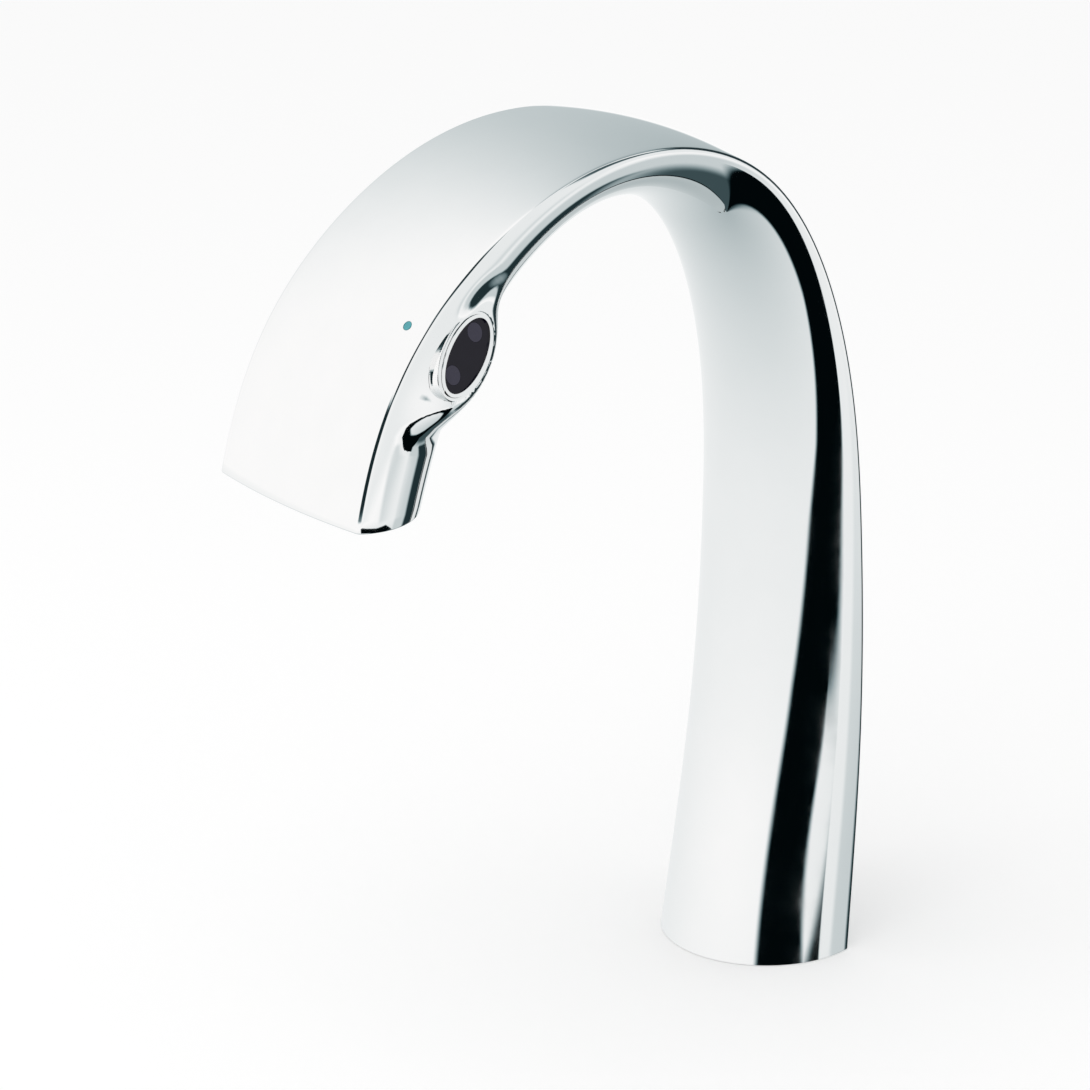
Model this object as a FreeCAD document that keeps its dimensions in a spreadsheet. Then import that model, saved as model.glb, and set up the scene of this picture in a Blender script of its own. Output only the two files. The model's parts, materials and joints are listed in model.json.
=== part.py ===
import FreeCAD, Part
import math
import os
import Sketcher
from FreeCAD import Placement, Rotation, Vector

# Deck-mounted washbasin tap that starts and stops the water when a hand passes
# a sensor on the side of its spout. +X points from the base towards the user,
# +Y to the side with the sensor, +Z up. The origin lies on the deck, under the
# middle of the base.

document = FreeCAD.newDocument("sensor_tap")
dims = document.addObject("Spreadsheet::Sheet", "dims")

DIMENSIONS = (
    # The neck is a strip with two sharp edges. Each station gives the place of
    # the line between the edges, seen from the side, and the section there.
    ("foot_x", -19.5, "outer line at the deck"),
    ("foot_z", 0, "deck"),
    ("foot_width", 58.5, "between the sharp edges"),
    ("foot_depth", 39, "from the outer line to the inner side"),
    ("foot_belly", 0.22, "share of the depth where the section is widest"),
    ("shin_x", -24, "outer line at the furthest back"),
    ("shin_z", 66, "height of that station"),
    ("shin_width", 56, "width"),
    ("shin_depth", 34, "depth"),
    ("shin_belly", 0.19, "belly"),
    ("waist_x", -23, "middle of the column"),
    ("waist_z", 131, "height"),
    ("waist_width", 55, "width"),
    ("waist_depth", 28.5, "depth"),
    ("waist_belly", 0.14, "belly"),
    ("shoulder_x", -15.5, "where the column starts to bend"),
    ("shoulder_z", 188, "height"),
    ("shoulder_width", 54.5, "width"),
    ("shoulder_depth", 24, "depth"),
    ("shoulder_belly", 0.09, "belly"),
    ("rise_x", 16.5, "back of the arch"),
    ("rise_z", 244, "height"),
    ("rise_width", 55, "width"),
    ("rise_depth", 20, "depth"),
    ("rise_belly", 0.05, "belly"),
    ("crown_x", 74, "top of the arch"),
    ("crown_z", 256.5, "height"),
    ("crown_width", 60.5, "width"),
    ("crown_depth", 18.5, "depth"),
    ("crown_belly", 0.12, "belly"),
    ("brow_x", 130.5, "front of the arch, above the sensor"),
    ("brow_z", 226.5, "height"),
    ("brow_width", 63, "width"),
    ("brow_depth", 29, "depth"),
    ("brow_belly", 0.22, "belly"),
    ("lip_x", 159, "outer line at the outlet"),
    ("lip_z", 170, "height of the outlet above the deck"),
    ("lip_width", 65, "width"),
    ("lip_depth", 32, "depth"),
    ("lip_belly", 0.27, "belly"),
    ("foot_lean", 5, "backward lean of the column at the deck, degrees"),
    ("lip_lean", 12, "forward lean of the spout at the outlet, degrees"),
    ("outer_crown", 2.2, "rise of the outer face between its edges"),
    ("edge_round", 1.3, "rounding of the two long edges, back from the corner"),
    ("wall", 2.6, "thickness of the cast wall"),
    ("end_allowance", 8, "length cast past each end and sawn off"),
    ("fit_gap", 0.3, "gap around pieces that drop in"),
    ("run_gap", 0.08, "radial gap of sliding and turning fits"),
    ("rest_gap", 0.1, "gap between pieces that rest on each other"),
    ("tool_reach", 200, "length of the solids that cut right through"),
    # The sensor sits in an oval pod on the side of the spout.
    ("window_x", 125.4, "middle of the window"),
    ("window_y", 36, "middle of the window"),
    ("window_z", 214.1, "middle of the window"),
    ("window_facing", 99.6, "direction the window faces, degrees from +X"),
    ("window_lift", 19.8, "upward tilt of the window, degrees"),
    ("window_slant", 38, "slope of its long axis, degrees"),
    ("window_long", 12.3, "half the long axis"),
    ("window_short", 5.7, "half the short axis"),
    ("bezel_width", 1, "ring around the window"),
    ("pod_rim", 1.2, "body metal around the ring"),
    ("pod_spread", 1.9, "the pod fades into the neck this many pod radii out"),
    ("pod_edge_share", 0.13, "and within this share of the section from the edge"),
    ("pod_collar", 0.5, "height of the crisp rim at the pod face"),
    ("pod_reach", 46, "length of neck each side that is drawn finely"),
    ("coarse_step", 22, "spacing of the sections"),
    ("fine_step", 6, "spacing of the sections beside the pod"),
    ("window_thickness", 2, "smoked plate"),
    ("gasket_thickness", 0.8, "seal under the plate"),
    ("housing_depth", 11, "sensor case behind the seal"),
    ("housing_wall", 1, "wall of the case"),
    ("board_thickness", 1, "circuit board"),
    ("seat_depth", 4.1, "depth of the seat below the pod face"),
    ("shoulder_step", 0.5, "the bore of the pod is this much smaller than the window"),
    ("bezel_proud", 0.4, "the ring stands out of the pod face"),
    ("sight_step", 0.4, "the ring covers this much of the plate"),
    ("window_recess", 0.2, "plate below the pod face"),
    ("seal_step", 0.45, "the seal reaches this far inside the edge of the ring"),
    ("lens_flange", 0.15, "flange of a lens"),
    ("board_drop", 6, "circuit board below the seal"),
    ("led_radius", 1.5, "emitter and receiver"),
    ("led_shift", 0.2, "emitter and receiver, towards the outer face"),
    ("led_height", 4.4, "emitter"),
    ("led_flange", 0.4, "flange at the foot of the emitter"),
    ("led_flange_height", 0.8, "height of that flange"),
    ("diode_height", 1.8, "receiver"),
    ("dish_radius", 0.9, "dish in the face of the receiver"),
    ("dish_depth", 0.4, "depth of that dish"),
    ("baffle_thickness", 1.4, "wall between emitter and receiver"),
    ("baffle_half", 3.3, "half the width of that wall"),
    ("cable_floor", 0.5, "cable above the floor of the case"),
    ("gland_wall", 0.6, "rubber around the cable where it leaves the case"),
    ("gland_reach", 0.2, "rubber inside the case"),
    ("gland_length", 1.8, "rubber outside the case"),
    ("gland_lip", 0.5, "lip of the rubber outside the case"),
    ("gland_fit", 0.02, "gap between rubber and cable"),
    ("gland_straight", 11, "straight cable outside the case"),
    ("lens_radius", 2.65, "each of the two sensor lenses"),
    ("lens_spread", 7.4, "from the middle of the window to each lens"),
    ("lens_shift", 1, "both lenses sit this far towards the outer face"),
    # Water
    ("tube_radius", 4, "water tube, outside"),
    ("tube_bore", 2.75, "water tube, inside"),
    ("tube_share", 0.5, "place of the tube in the depth of the neck"),
    ("tube_bends", 8, "the tube is bent this many times in the neck"),
    ("tube_start", 84, "first bend, measured along the neck"),
    ("tube_end", 62, "last bend, measured back from the outlet"),
    ("tube_straight", 10, "straight tube above a socket"),
    ("fitting_rise", 15, "inlet fitting above the base plate"),
    ("fitting_flange", 1.5, "flange of the inlet fitting on the base plate"),
    ("flange_height", 3, "height of that flange"),
    ("inlet_x", 4.5, "water inlet in the base"),
    ("tail_radius", 6.58, "G1/4 threaded tail"),
    ("tail_length", 48, "tail below the deck"),
    ("tail_thread", 14, "threaded end of the tail"),
    ("relief_width", 2, "undercut above that thread"),
    ("relief_depth", 0.7, "depth of that undercut"),
    ("valve_chamber", 4.9, "bore in the tail for the check valve"),
    ("socket_wall", 6.6, "outer radius of the sockets that take the tube"),
    ("outlet_socket", 8, "length of tube inside the outlet socket"),
    ("socket_depth", 11, "length of tube inside a socket"),
    ("groove_radius", 5.65, "groove for the ring seal in a socket"),
    ("groove_width", 2.2, "height of that groove"),
    ("groove_drop", 2.5, "metal above that groove"),
    ("socket_sole", 1, "metal under the tube in the outlet socket"),
    ("seal_radius", 0.75, "thickness of the ring seal, half"),
    ("chamber_top", 2, "top of the bore for the check valve"),
    ("cage_height", 16, "check valve"),
    ("cage_seat", 2, "seat at the foot of its cage"),
    ("cage_roof", 1.5, "top of its cage"),
    ("seat_lap", 0.8, "the seat reaches this far under the plug"),
    ("flow_gap", 0.5, "water passes around the plug"),
    ("stem_way", 1, "water passes around the stem"),
    ("poppet_radius", 3.2, "moving plug of the check valve"),
    ("stem_radius", 1.1, "stem of that plug"),
    ("poppet_height", 3, "plug without its stem"),
    ("poppet_chamfer", 0.5, "sealing edge of the plug"),
    ("stem_gap", 0.6, "stem below the top of the cage"),
    ("spring_wire", 0.25, "radius of the spring wire"),
    ("spring_turns", 6, "turns of the spring"),
    ("spring_gap", 0.35, "gap between spring and stem"),
    ("spring_seat", 0.4, "middle of the wire from what it bears on"),
    ("poppet_lift", 2.5, "travel of the check valve"),
    ("strainer_inset", 2, "strainer above the end of the tail"),
    ("strainer_thickness", 1, "its plate"),
    ("strainer_skirt", 4, "height of its skirt"),
    ("strainer_wall", 0.8, "wall of its skirt"),
    ("strainer_hole", 0.7, "radius of its holes"),
    ("strainer_ring", 3, "radius of the ring of holes"),
    # Outlet
    ("nozzle_setback", 17, "middle of the outlet, behind the outer line"),
    ("nozzle_recess", 1.5, "the outlet plate sits inside the rim"),
    ("nozzle_height", 11, "thickness of the outlet plate"),
    ("aerator_radius", 10.75, "M21.5 aerator"),
    ("aerator_height", 8, "threaded ring of the aerator"),
    ("aerator_lip", 1.6, "inward lip at the foot of the aerator ring"),
    ("aerator_wall", 1.6, "wall of the aerator ring"),
    ("aerator_foot", 1.2, "thickness of that lip"),
    ("slot_width", 3, "slots for the key that turns the ring"),
    ("slot_depth", 0.8, "depth of those slots"),
    ("insert_floor", 1.5, "floor of the aerator insert"),
    ("jet_radius", 1, "outer holes of the insert"),
    ("jet_ring", 5.6, "radius of their ring"),
    ("core_jet_radius", 0.9, "inner holes of the insert"),
    ("core_jet_ring", 2.6, "radius of their ring"),
    ("mesh_radius", 0.7, "holes of the screens"),
    ("mesh_ring", 5.8, "radius of the outer ring of these"),
    ("core_mesh_ring", 3, "radius of the inner ring of these"),
    ("screen_gap", 0.05, "gap between the screens"),
    ("screen_thickness", 0.5, "each fine screen"),
    ("washer_thickness", 1.5, "rubber washer on the aerator"),
    ("screw_radius", 2, "M4 screws"),
    ("screw_head", 3.5, "radius of a screw head"),
    ("head_height", 3, "height of a screw head"),
    ("head_inset", 0.5, "screw heads below the face they are let into"),
    ("hex_radius", 1.7, "hexagon socket of a screw, to its corners"),
    ("hex_depth", 2.1, "depth of that socket"),
    ("boss_radius", 5.5, "cast bosses that take the screws"),
    ("boss_height", 14, "height of those bosses"),
    ("tap_rest", 2, "boss beyond the end of its tapped hole"),
    ("nozzle_screw_ahead", 5, "outlet screws, ahead of the middle of the outlet"),
    ("nozzle_screw_y", 26.5, "outlet screws, each side"),
    # Base
    ("gasket_height", 2.5, "rubber seal on the deck"),
    ("plate_thickness", 6, "base plate"),
    ("plate_screw_x", -6, "base screws"),
    ("plate_screw_y", 22.5, "base screws, each side"),
    ("deck_hole", 14.5, "radius of the hole in the deck"),
    ("deck_thickness", 20, "deck as drawn"),
    ("stud_x", -10.2, "clamping stud"),
    ("stud_radius", 4, "M8 stud"),
    ("stud_length", 62, "stud below the deck"),
    ("clamp_radius", 24, "horseshoe plate"),
    ("clamp_thickness", 3, "horseshoe plate"),
    ("clamp_slot", 8, "half the width of its slot"),
    ("pad_thickness", 2.5, "rubber pad on the horseshoe plate"),
    ("nut_height", 8, "clamping nut"),
    ("nut_flats", 13, "across the flats of the clamping nut"),
    # Wiring
    ("cable_rise", 24, "straight cable above its plug"),
    ("cable_radius", 1.6, "sensor cable"),
    ("cable_lane", 13, "the cable runs this far beside the tube"),
    ("spacer_thickness", 4, "spacers that hold tube and cable in the neck"),
    ("drain_long", 6, "opening in a spacer, half its length"),
    ("drain_short", 5, "opening in a spacer, half its width"),
    ("drain_aside", 14, "opening in a spacer, from the tube"),
    ("plug_x", -4, "cable socket in the base"),
    ("plug_y", 10.5, "cable socket in the base"),
    ("plug_radius", 2.8, "cable socket in the base"),
    ("plug_drop", 4, "cable socket below the base plate"),
    ("plug_head", 5, "cable socket above the base plate"),
    ("plug_flange", 0.9, "flange of the cable socket on the base plate"),
    ("plug_flange_height", 4, "height of that flange"),
    ("plug_wall", 0.7, "wall around the pins"),
    ("plug_depth", 5, "depth around the pins"),
    ("pin_radius", 0.35, "pins of the cable socket"),
    ("pin_length", 4, "pins of the cable socket"),
    ("pin_spread", 0.9, "pins, from the middle of the socket"),
    ("light_distance", 383.8, "indicator light, measured along the neck"),
    ("light_across", 24.3, "indicator light, from the middle of the outer face"),
    ("light_radius", 1.3, "indicator light"),
    ("light_length", 7, "light pipe"),
    ("pipe_flange", 0.8, "flange of the light pipe"),
    ("pipe_flange_height", 1, "height of that flange"),
    ("pipe_drop", 0.6, "gap between that flange and the wall"),
    ("chip_width", 2.4, "lamp under the light pipe"),
    ("chip_height", 1.6, "lamp under the light pipe"),
    ("cup_radius", 0.9, "cup of that lamp"),
    ("cup_depth", 0.4, "depth of that cup"),
)

for row, (alias, number, meaning) in enumerate(DIMENSIONS, start=1):
    dims.set("A%d" % row, meaning)
    dims.set("B%d" % row, str(number))
    dims.setAlias("B%d" % row, alias)
document.recompute()


def size(alias):
    """A driving dimension as a number."""
    return float(dims.get(alias))


def at(item, x, y, z):
    """Bind the place of an object to the driving dimensions, where it has one."""
    for axis, place in (("x", x), ("y", y), ("z", z)):
        if place is not None:
            item.setExpression("Placement.Base." + axis, place)
    return item


def rod(name, radius, length, x=None, y=None, z=None):
    """Upright cylinder."""
    item = document.addObject("Part::Cylinder", name)
    item.setExpression("Radius", radius)
    item.setExpression("Height", length)
    return at(item, x, y, z)


def block(name, length, width, height, x=None, y=None, z=None):
    """Box from one corner."""
    item = document.addObject("Part::Box", name)
    item.setExpression("Length", length)
    item.setExpression("Width", width)
    item.setExpression("Height", height)
    return at(item, x, y, z)


def oval(name, long, short, height, x=None, y=None, z=None):
    """Upright prism on an ellipse."""
    outline = document.addObject("Part::Ellipse", name + "_outline")
    outline.setExpression("MajorRadius", long)
    outline.setExpression("MinorRadius", short)
    at(outline, x, y, z)
    item = document.addObject("Part::Extrusion", name)
    item.Base = outline
    item.DirMode = "Custom"
    item.Dir = Vector(0, 0, 1)
    item.setExpression("LengthFwd", height)
    item.Solid = True
    return item


def fuse(name, *pieces):
    item = document.addObject("Part::MultiFuse", name)
    item.Shapes = list(pieces)
    return item


def cut(name, base, *tools):
    item = document.addObject("Part::Cut", name)
    item.Base = base
    item.Tool = tools[0] if len(tools) == 1 else fuse(name + "_tools", *tools)
    return item


def common(name, one, other):
    item = document.addObject("Part::MultiCommon", name)
    item.Shapes = [one, other]
    return item


def turned(name, *corners):
    """Body of revolution about Z. Corners are pairs of radius and height."""
    body = document.addObject("PartDesign::Body", name)
    planes = {part.Role: part for part in body.Origin.OriginFeatures}
    sketch = body.newObject("Sketcher::SketchObject", name + "_profile")
    sketch.AttachmentSupport = [(planes["XZ_Plane"], "")]
    sketch.MapMode = "FlatFace"
    places = [
        Vector(float(dims.evalExpression(radius)), float(dims.evalExpression(height)), 0)
        for radius, height in corners
    ]
    for start, end in zip(places, places[1:] + places[:1]):
        sketch.addGeometry(Part.LineSegment(start, end), False)
    count = len(corners)
    for index, (radius, height) in enumerate(corners):
        before = (index - 1) % count
        sketch.addConstraint(Sketcher.Constraint("Coincident", before, 2, index, 1))
        if radius == "0":
            sketch.addConstraint(Sketcher.Constraint("PointOnObject", index, 1, -2))
        else:
            drive(sketch, "DistanceX", index, places[index].x, radius)
        if height == "0":
            sketch.addConstraint(Sketcher.Constraint("PointOnObject", index, 1, -1))
        else:
            drive(sketch, "DistanceY", index, places[index].y, height)
    feature = body.newObject("PartDesign::Revolution", name + "_turned")
    feature.Profile = sketch
    feature.ReferenceAxis = (sketch, ["V_Axis"])
    feature.Angle = 360
    return body


def drive(sketch, kind, index, number, expression):
    """Hold the start of a sketched line at a driven distance from the origin."""
    sketch.addConstraint(Sketcher.Constraint(kind, -1, 1, index, 1, number))
    sketch.setExpression("Constraints[%d]" % (sketch.ConstraintCount - 1), expression)


def raw(name, shape):
    """A shape made directly, kept as an object of the document."""
    item = document.addObject("Part::Feature", name)
    item.Shape = shape
    return item


def pair(name, piece):
    """A piece and its mirror image on the other side of the tap."""
    mirrored = document.addObject("Part::Mirroring", name + "_mirrored")
    mirrored.Source = piece
    mirrored.Normal = Vector(0, 1, 0)
    both = document.addObject("Part::Compound", name)
    both.Links = [piece, mirrored]
    return both


# ------------------------------------------------------------- the sensor pod


def pod_place():
    """Frame of the pod: Z out of the window, X up its long axis."""
    facing = math.radians(size("window_facing"))
    lift = math.radians(size("window_lift"))
    slant = math.radians(size("window_slant"))
    level = Vector(-math.sin(facing), math.cos(facing), 0)
    ahead = Vector(math.cos(facing), math.sin(facing), 0)
    outward = ahead * math.cos(lift) + Vector(0, 0, math.sin(lift))
    steep = outward.cross(level)
    long_axis = level * math.cos(slant) + steep * math.sin(slant)
    centre = Vector(size("window_x"), size("window_y"), size("window_z"))
    return Placement(centre, Rotation(long_axis, outward.cross(long_axis), outward, "ZXY"))


def eased(share):
    """Rises from 0 to 1 without a kink at either end."""
    share = min(max(share, 0), 1)
    return share * share * (3 - 2 * share)


def drawn_to_pod(point, share):
    """A point of the skin, pulled towards the face of the pod where it is near.

    The share runs from 0 at the sharp edge beside the pod to 1 at the other.
    """
    local = POD_INVERSE.multVec(point)
    rim = size("bezel_width") + size("pod_rim")
    long = size("window_long") + rim
    short = size("window_short") + rim
    around = math.hypot(local.x / long, local.y / short)
    pull = 1 - eased((around - 1) / (size("pod_spread") - 1))
    pull *= eased(share / size("pod_edge_share"))
    pull *= eased((0.5 - share) / 0.15)
    local.z -= (local.z + size("pod_collar")) * pull
    return POD.multVec(local)


POD = pod_place()
POD_INVERSE = POD.inverse()

# ---------------------------------------------------------------- the neck

STATIONS = ("foot", "shin", "waist", "shoulder", "rise", "crown", "brow", "lip")


def station_distances(points):
    """Distance of each station from the foot, measured straight between them."""
    distances = [0.0]
    for before, after in zip(points, points[1:]):
        distances.append(distances[-1] + before.distanceToPoint(after))
    return distances


def neck_curves():
    """The outer line of the neck, and the curve of its width, depth and belly."""
    places = [Vector(size(name + "_x"), 0, size(name + "_z")) for name in STATIONS]
    sizes = [
        Vector(size(name + "_width"), size(name + "_depth"), size(name + "_belly"))
        for name in STATIONS
    ]
    distances = station_distances(places)
    foot_lean = math.radians(size("foot_lean"))
    lip_lean = math.radians(size("lip_lean"))
    line = Part.BSplineCurve()
    line.interpolate(
        Points=places,
        Parameters=distances,
        InitialTangent=Vector(-math.sin(foot_lean), 0, math.cos(foot_lean)),
        FinalTangent=Vector(math.sin(lip_lean), 0, -math.cos(lip_lean)),
    )
    measures = Part.BSplineCurve()
    measures.interpolate(Points=sizes, Parameters=distances)
    return line, measures, distances[-1]


neck_line, neck_measures, neck_length = neck_curves()
BELLY_SPANS = 28
FACE_SPANS = 6
CORNER_SPANS = 6


def neck_at(distance):
    """Point, direction, inward direction and section sizes along the neck."""
    inside = min(max(distance, 0), neck_length)
    beyond = distance - inside
    along = Vector(*neck_line.tangent(inside)[0])
    point = neck_line.value(inside) + along * beyond
    inward = Vector(along.z, 0, -along.x)
    measures = neck_measures.value(inside) + neck_measures.getDN(inside, 1) * beyond
    return point, along, inward, measures


def section_points(distance, inset, rounding):
    """Section of the neck: its inner side, its crowned outer face, two corners.

    The inner side is part of an ellipse. Only the skin, with no inset, swells
    out to the sensor pod and has its corners rounded.
    """
    point, along, inward, measures = neck_at(distance)
    width, depth, belly = measures
    widest = belly * depth
    drop = depth - widest
    spread = width / 2 / math.sqrt(1 - (widest / drop) ** 2)
    inner_spread = spread - inset
    inner_drop = drop - inset
    corner = math.asin((inset - widest) / inner_drop)
    pace = math.hypot(inner_spread * math.sin(corner), inner_drop * math.cos(corner))
    start = corner + rounding / pace
    sweep = math.pi - 2 * start

    def place(across, deep):
        return point + inward * deep + Vector(0, across, 0)

    belly_points = []
    for step in range(BELLY_SPANS + 1):
        angle = start + sweep * step / BELLY_SPANS
        across = inner_spread * math.cos(angle)
        on_belly = place(across, widest + inner_drop * math.sin(angle))
        if inset == 0:
            on_belly = drawn_to_pod(on_belly, step / BELLY_SPANS)
        belly_points.append(on_belly)
    half = inner_spread * math.cos(corner)
    flat = half - rounding
    face_points = []
    for step in range(FACE_SPANS + 1):
        across = flat * (2 * step / FACE_SPANS - 1)
        rise = size("outer_crown") * (1 - (across / half) ** 2)
        face_points.append(place(across, inset - rise))
    sides = [belly_points, face_points]
    if rounding:
        sides.insert(1, rounded_corner(belly_points[-1], place(-half, inset), face_points[0]))
        sides.append(rounded_corner(face_points[-1], place(half, inset), belly_points[0]))
    return sides


def rounded_corner(start, corner, end):
    """Points of a curve that leaves one side and meets the other along them."""
    points = []
    for step in range(CORNER_SPANS + 1):
        share = step / CORNER_SPANS
        points.append(
            start * (1 - share) ** 2 + corner * (2 * share * (1 - share)) + end * share ** 2
        )
    return points


def smooth_curve(points, parameters):
    curve = Part.BSplineCurve()
    curve.interpolate(Points=points, Parameters=parameters)
    return curve


def skinned_face(rows, distances):
    """Smooth face through rows of points, one row for each distance."""
    shares = [step / (len(rows[0]) - 1) for step in range(len(rows[0]))]
    across = [smooth_curve(row, shares) for row in rows]
    along = [
        smooth_curve(list(column), distances)
        for column in zip(*[curve.getPoles() for curve in across])
    ]
    surface = Part.BSplineSurface()
    surface.buildFromPolesMultsKnots(
        [curve.getPoles() for curve in along],
        across[0].getMultiplicities(), along[0].getMultiplicities(),
        across[0].getKnots(), along[0].getKnots(), False, False, 3, 3,
    )
    return surface.toShape()


def neck_solid(name, inset):
    """The whole neck, drawn in from its outer surface by inset."""
    allowance = size("end_allowance")
    pod_middle = neck_line.parameter(Vector(size("window_x"), 0, size("window_z")))
    distances = [-allowance]
    distance = 0
    while distance < neck_length - size("fine_step"):
        distances.append(distance)
        beside_pod = abs(distance - pod_middle) < size("pod_reach")
        distance += size("fine_step" if beside_pod and inset == 0 else "coarse_step")
    distances += [neck_length, neck_length + allowance]
    rounding = size("edge_round") if inset == 0 else 0
    sections = [section_points(distance, inset, rounding) for distance in distances]
    faces = [skinned_face(rows, distances) for rows in zip(*sections)]
    ends = []
    for last in (False, True):
        rim = [end_edge(face, distances, last) for face in faces]
        ends.append(Part.Face(Part.Wire(rim)))
    shell = Part.Shell(faces + ends)
    shell.sewShape()
    return raw(name, Part.Solid(shell))


def end_edge(face, distances, last):
    """Edge of a skinned face at its first or last section."""
    place = distances[-1] if last else distances[0]
    middle = neck_at(place)[0]
    along = neck_at(place)[1]
    for edge in face.Edges:
        reach = [abs((vertex.Point - middle).dot(along)) for vertex in edge.Vertexes]
        if max(reach) < 0.001:
            return edge


skin = neck_solid("neck_skin", 0)
cavity = neck_solid("neck_cavity", size("wall"))
core = neck_solid("neck_core", size("wall") + size("fit_gap"))


# ------------------------------------------------------------- the cast body

REACH = "dims.tool_reach"
HALF_REACH = "dims.tool_reach / 2"
NOZZLE = "(dims.lip_x - dims.nozzle_setback)"
PLATE_TOP = "(dims.gasket_height + dims.plate_thickness)"
BLOCK_LOW = "(dims.lip_z + dims.nozzle_recess)"
BLOCK_TOP = "(dims.lip_z + dims.nozzle_recess + dims.nozzle_height)"
PLATE_SCREW = ("dims.plate_screw_x", "dims.plate_screw_y")
NOZZLE_SCREW = (NOZZLE + " + dims.nozzle_screw_ahead", "dims.nozzle_screw_y")
LONG = "dims.window_long"
SHORT = "dims.window_short"
RIM = " + dims.bezel_width"


def bore(name, radius, x, y, level):
    """Tool for a round hole right through whatever lies at that level."""
    return rod(name, radius, REACH, x, y, level + " - " + HALF_REACH)


def slice_tool(name, low, height):
    """Wide slab at one level, to take a slice of the neck with."""
    return block(name, REACH, REACH, height, "-" + HALF_REACH, "-" + HALF_REACH, low)


foot_trim = slice_tool("foot_trim", "-dims.end_allowance * 2", "dims.end_allowance * 2")
lip_trim = block(
    "lip_trim", REACH, REACH, HALF_REACH, NOZZLE + " / 2", "-" + HALF_REACH,
    "dims.lip_z - " + HALF_REACH,
)

collar = oval(
    "pod_collar", LONG + RIM + " + dims.pod_rim", SHORT + RIM + " + dims.pod_rim",
    "dims.seat_depth", z="-dims.seat_depth",
)
document.recompute()
top_edge = 1 + max(
    range(len(collar.Shape.Edges)), key=lambda index: collar.Shape.Edges[index].CenterOfMass.z
)
pod_rim = document.addObject("Part::Fillet", "pod_rim_rounded")
pod_rim.Base = collar
pod_rim.Edges = [(top_edge, size("pod_collar"), size("pod_collar"))]
pod_rim.Placement = POD
pod_seat = oval(
    "pod_seat", LONG + RIM + " + dims.run_gap", SHORT + RIM + " + dims.run_gap",
    HALF_REACH, z="-dims.seat_depth",
)
pod_bore = oval(
    "pod_bore", LONG + " - dims.shoulder_step", SHORT + " - dims.shoulder_step",
    "dims.seat_depth + 2 * dims.housing_depth", z="-dims.seat_depth - 2 * dims.housing_depth",
)
pod_hole = fuse("pod_hole", pod_seat, pod_bore)
pod_hole.Placement = POD

light_point, light_along, light_inward, light_section = neck_at(size("light_distance"))
light_rise = size("outer_crown") * (1 - (2 * size("light_across") / light_section.x) ** 2)
light_spot = light_point + Vector(0, size("light_across"), 0) - light_inward * light_rise
LIGHT = Placement(light_spot, Rotation(light_along, Vector(), -light_inward, "ZXY"))
light_hole = rod("light_hole", "dims.light_radius + dims.run_gap", "dims.wall * 4")
light_hole.Placement = LIGHT.multiply(Placement(Vector(0, 0, -2 * size("wall")), Rotation()))

plate_boss = rod("plate_boss", "dims.boss_radius", "dims.boss_height", *PLATE_SCREW, PLATE_TOP)
outlet_boss = rod("outlet_boss", "dims.boss_radius", "dims.boss_height", *NOZZLE_SCREW, BLOCK_TOP)
TAPPED = ("dims.screw_radius + dims.run_gap", "dims.boss_height - dims.tap_rest")
plate_tap = rod("plate_tap", *TAPPED, *PLATE_SCREW, PLATE_TOP)
outlet_tap = rod("outlet_tap", *TAPPED, *NOZZLE_SCREW, BLOCK_TOP)
room = cut(
    "neck_room", cavity, pair("plate_bosses", plate_boss), pair("outlet_bosses", outlet_boss)
)
outer = fuse("spout_outer", skin, pod_rim)
shell = cut("spout_shell", outer, room, foot_trim, lip_trim)
spout_body = cut(
    "spout_body", shell, pod_hole, light_hole,
    pair("plate_taps", plate_tap), pair("outlet_taps", outlet_tap),
)

# ------------------------------------------------------------- the sensor


def in_pod(item):
    """Seat a finished piece in the frame of the pod."""
    item.Placement = POD
    return item


PANE_LOW = "(-dims.window_recess - dims.window_thickness)"
SEAL_LOW = "(-dims.window_recess - dims.window_thickness - dims.gasket_thickness)"
SIGHT = " + dims.sight_step"

bezel_outer = oval(
    "bezel_outer", LONG + RIM, SHORT + RIM, "dims.bezel_proud - " + SEAL_LOW, z=SEAL_LOW
)
bezel_sight = oval("bezel_sight", LONG, SHORT, "dims.seat_depth * 2", z="-dims.seat_depth")
bezel_room = oval(
    "bezel_room", LONG + SIGHT + " + dims.run_gap", SHORT + SIGHT + " + dims.run_gap",
    "dims.seat_depth", z="-dims.seat_depth - dims.window_recess",
)
window_bezel = in_pod(cut("window_bezel", bezel_outer, bezel_sight, bezel_room))

pane = oval("window_pane", LONG + SIGHT, SHORT + SIGHT, "dims.window_thickness", z=PANE_LOW)
pane_holes = [
    rod("pane_hole" + side, "dims.lens_radius + dims.run_gap", "dims.seat_depth * 2",
        sign + "dims.lens_spread", "dims.lens_shift", "-dims.seat_depth")
    for side, sign in (("_upper", ""), ("_lower", "-"))
]
sensor_window = in_pod(cut("sensor_window", pane, *pane_holes))


def lens(name, sign):
    """Round lens with a flange behind the window."""
    place = (sign + "dims.lens_spread", "dims.lens_shift", SEAL_LOW)
    barrel = rod(
        name + "_barrel", "dims.lens_radius", "dims.window_thickness + dims.gasket_thickness", *place
    )
    flange = rod(
        name + "_flange", "dims.lens_radius + dims.lens_flange", "dims.gasket_thickness", *place
    )
    return in_pod(fuse(name, barrel, flange))


emitter_lens = lens("emitter_lens", "")
receiver_lens = lens("receiver_lens", "-")

seal_outer = oval("seal_outer", LONG + SIGHT, SHORT + SIGHT, "dims.gasket_thickness", z=SEAL_LOW)
seal_inner = oval(
    "seal_inner", LONG + " - dims.seal_step", SHORT + " - dims.seal_step",
    "dims.seat_depth * 2", z="-dims.seat_depth * 2",
)
window_gasket = in_pod(cut("window_gasket", seal_outer, seal_inner))

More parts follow.
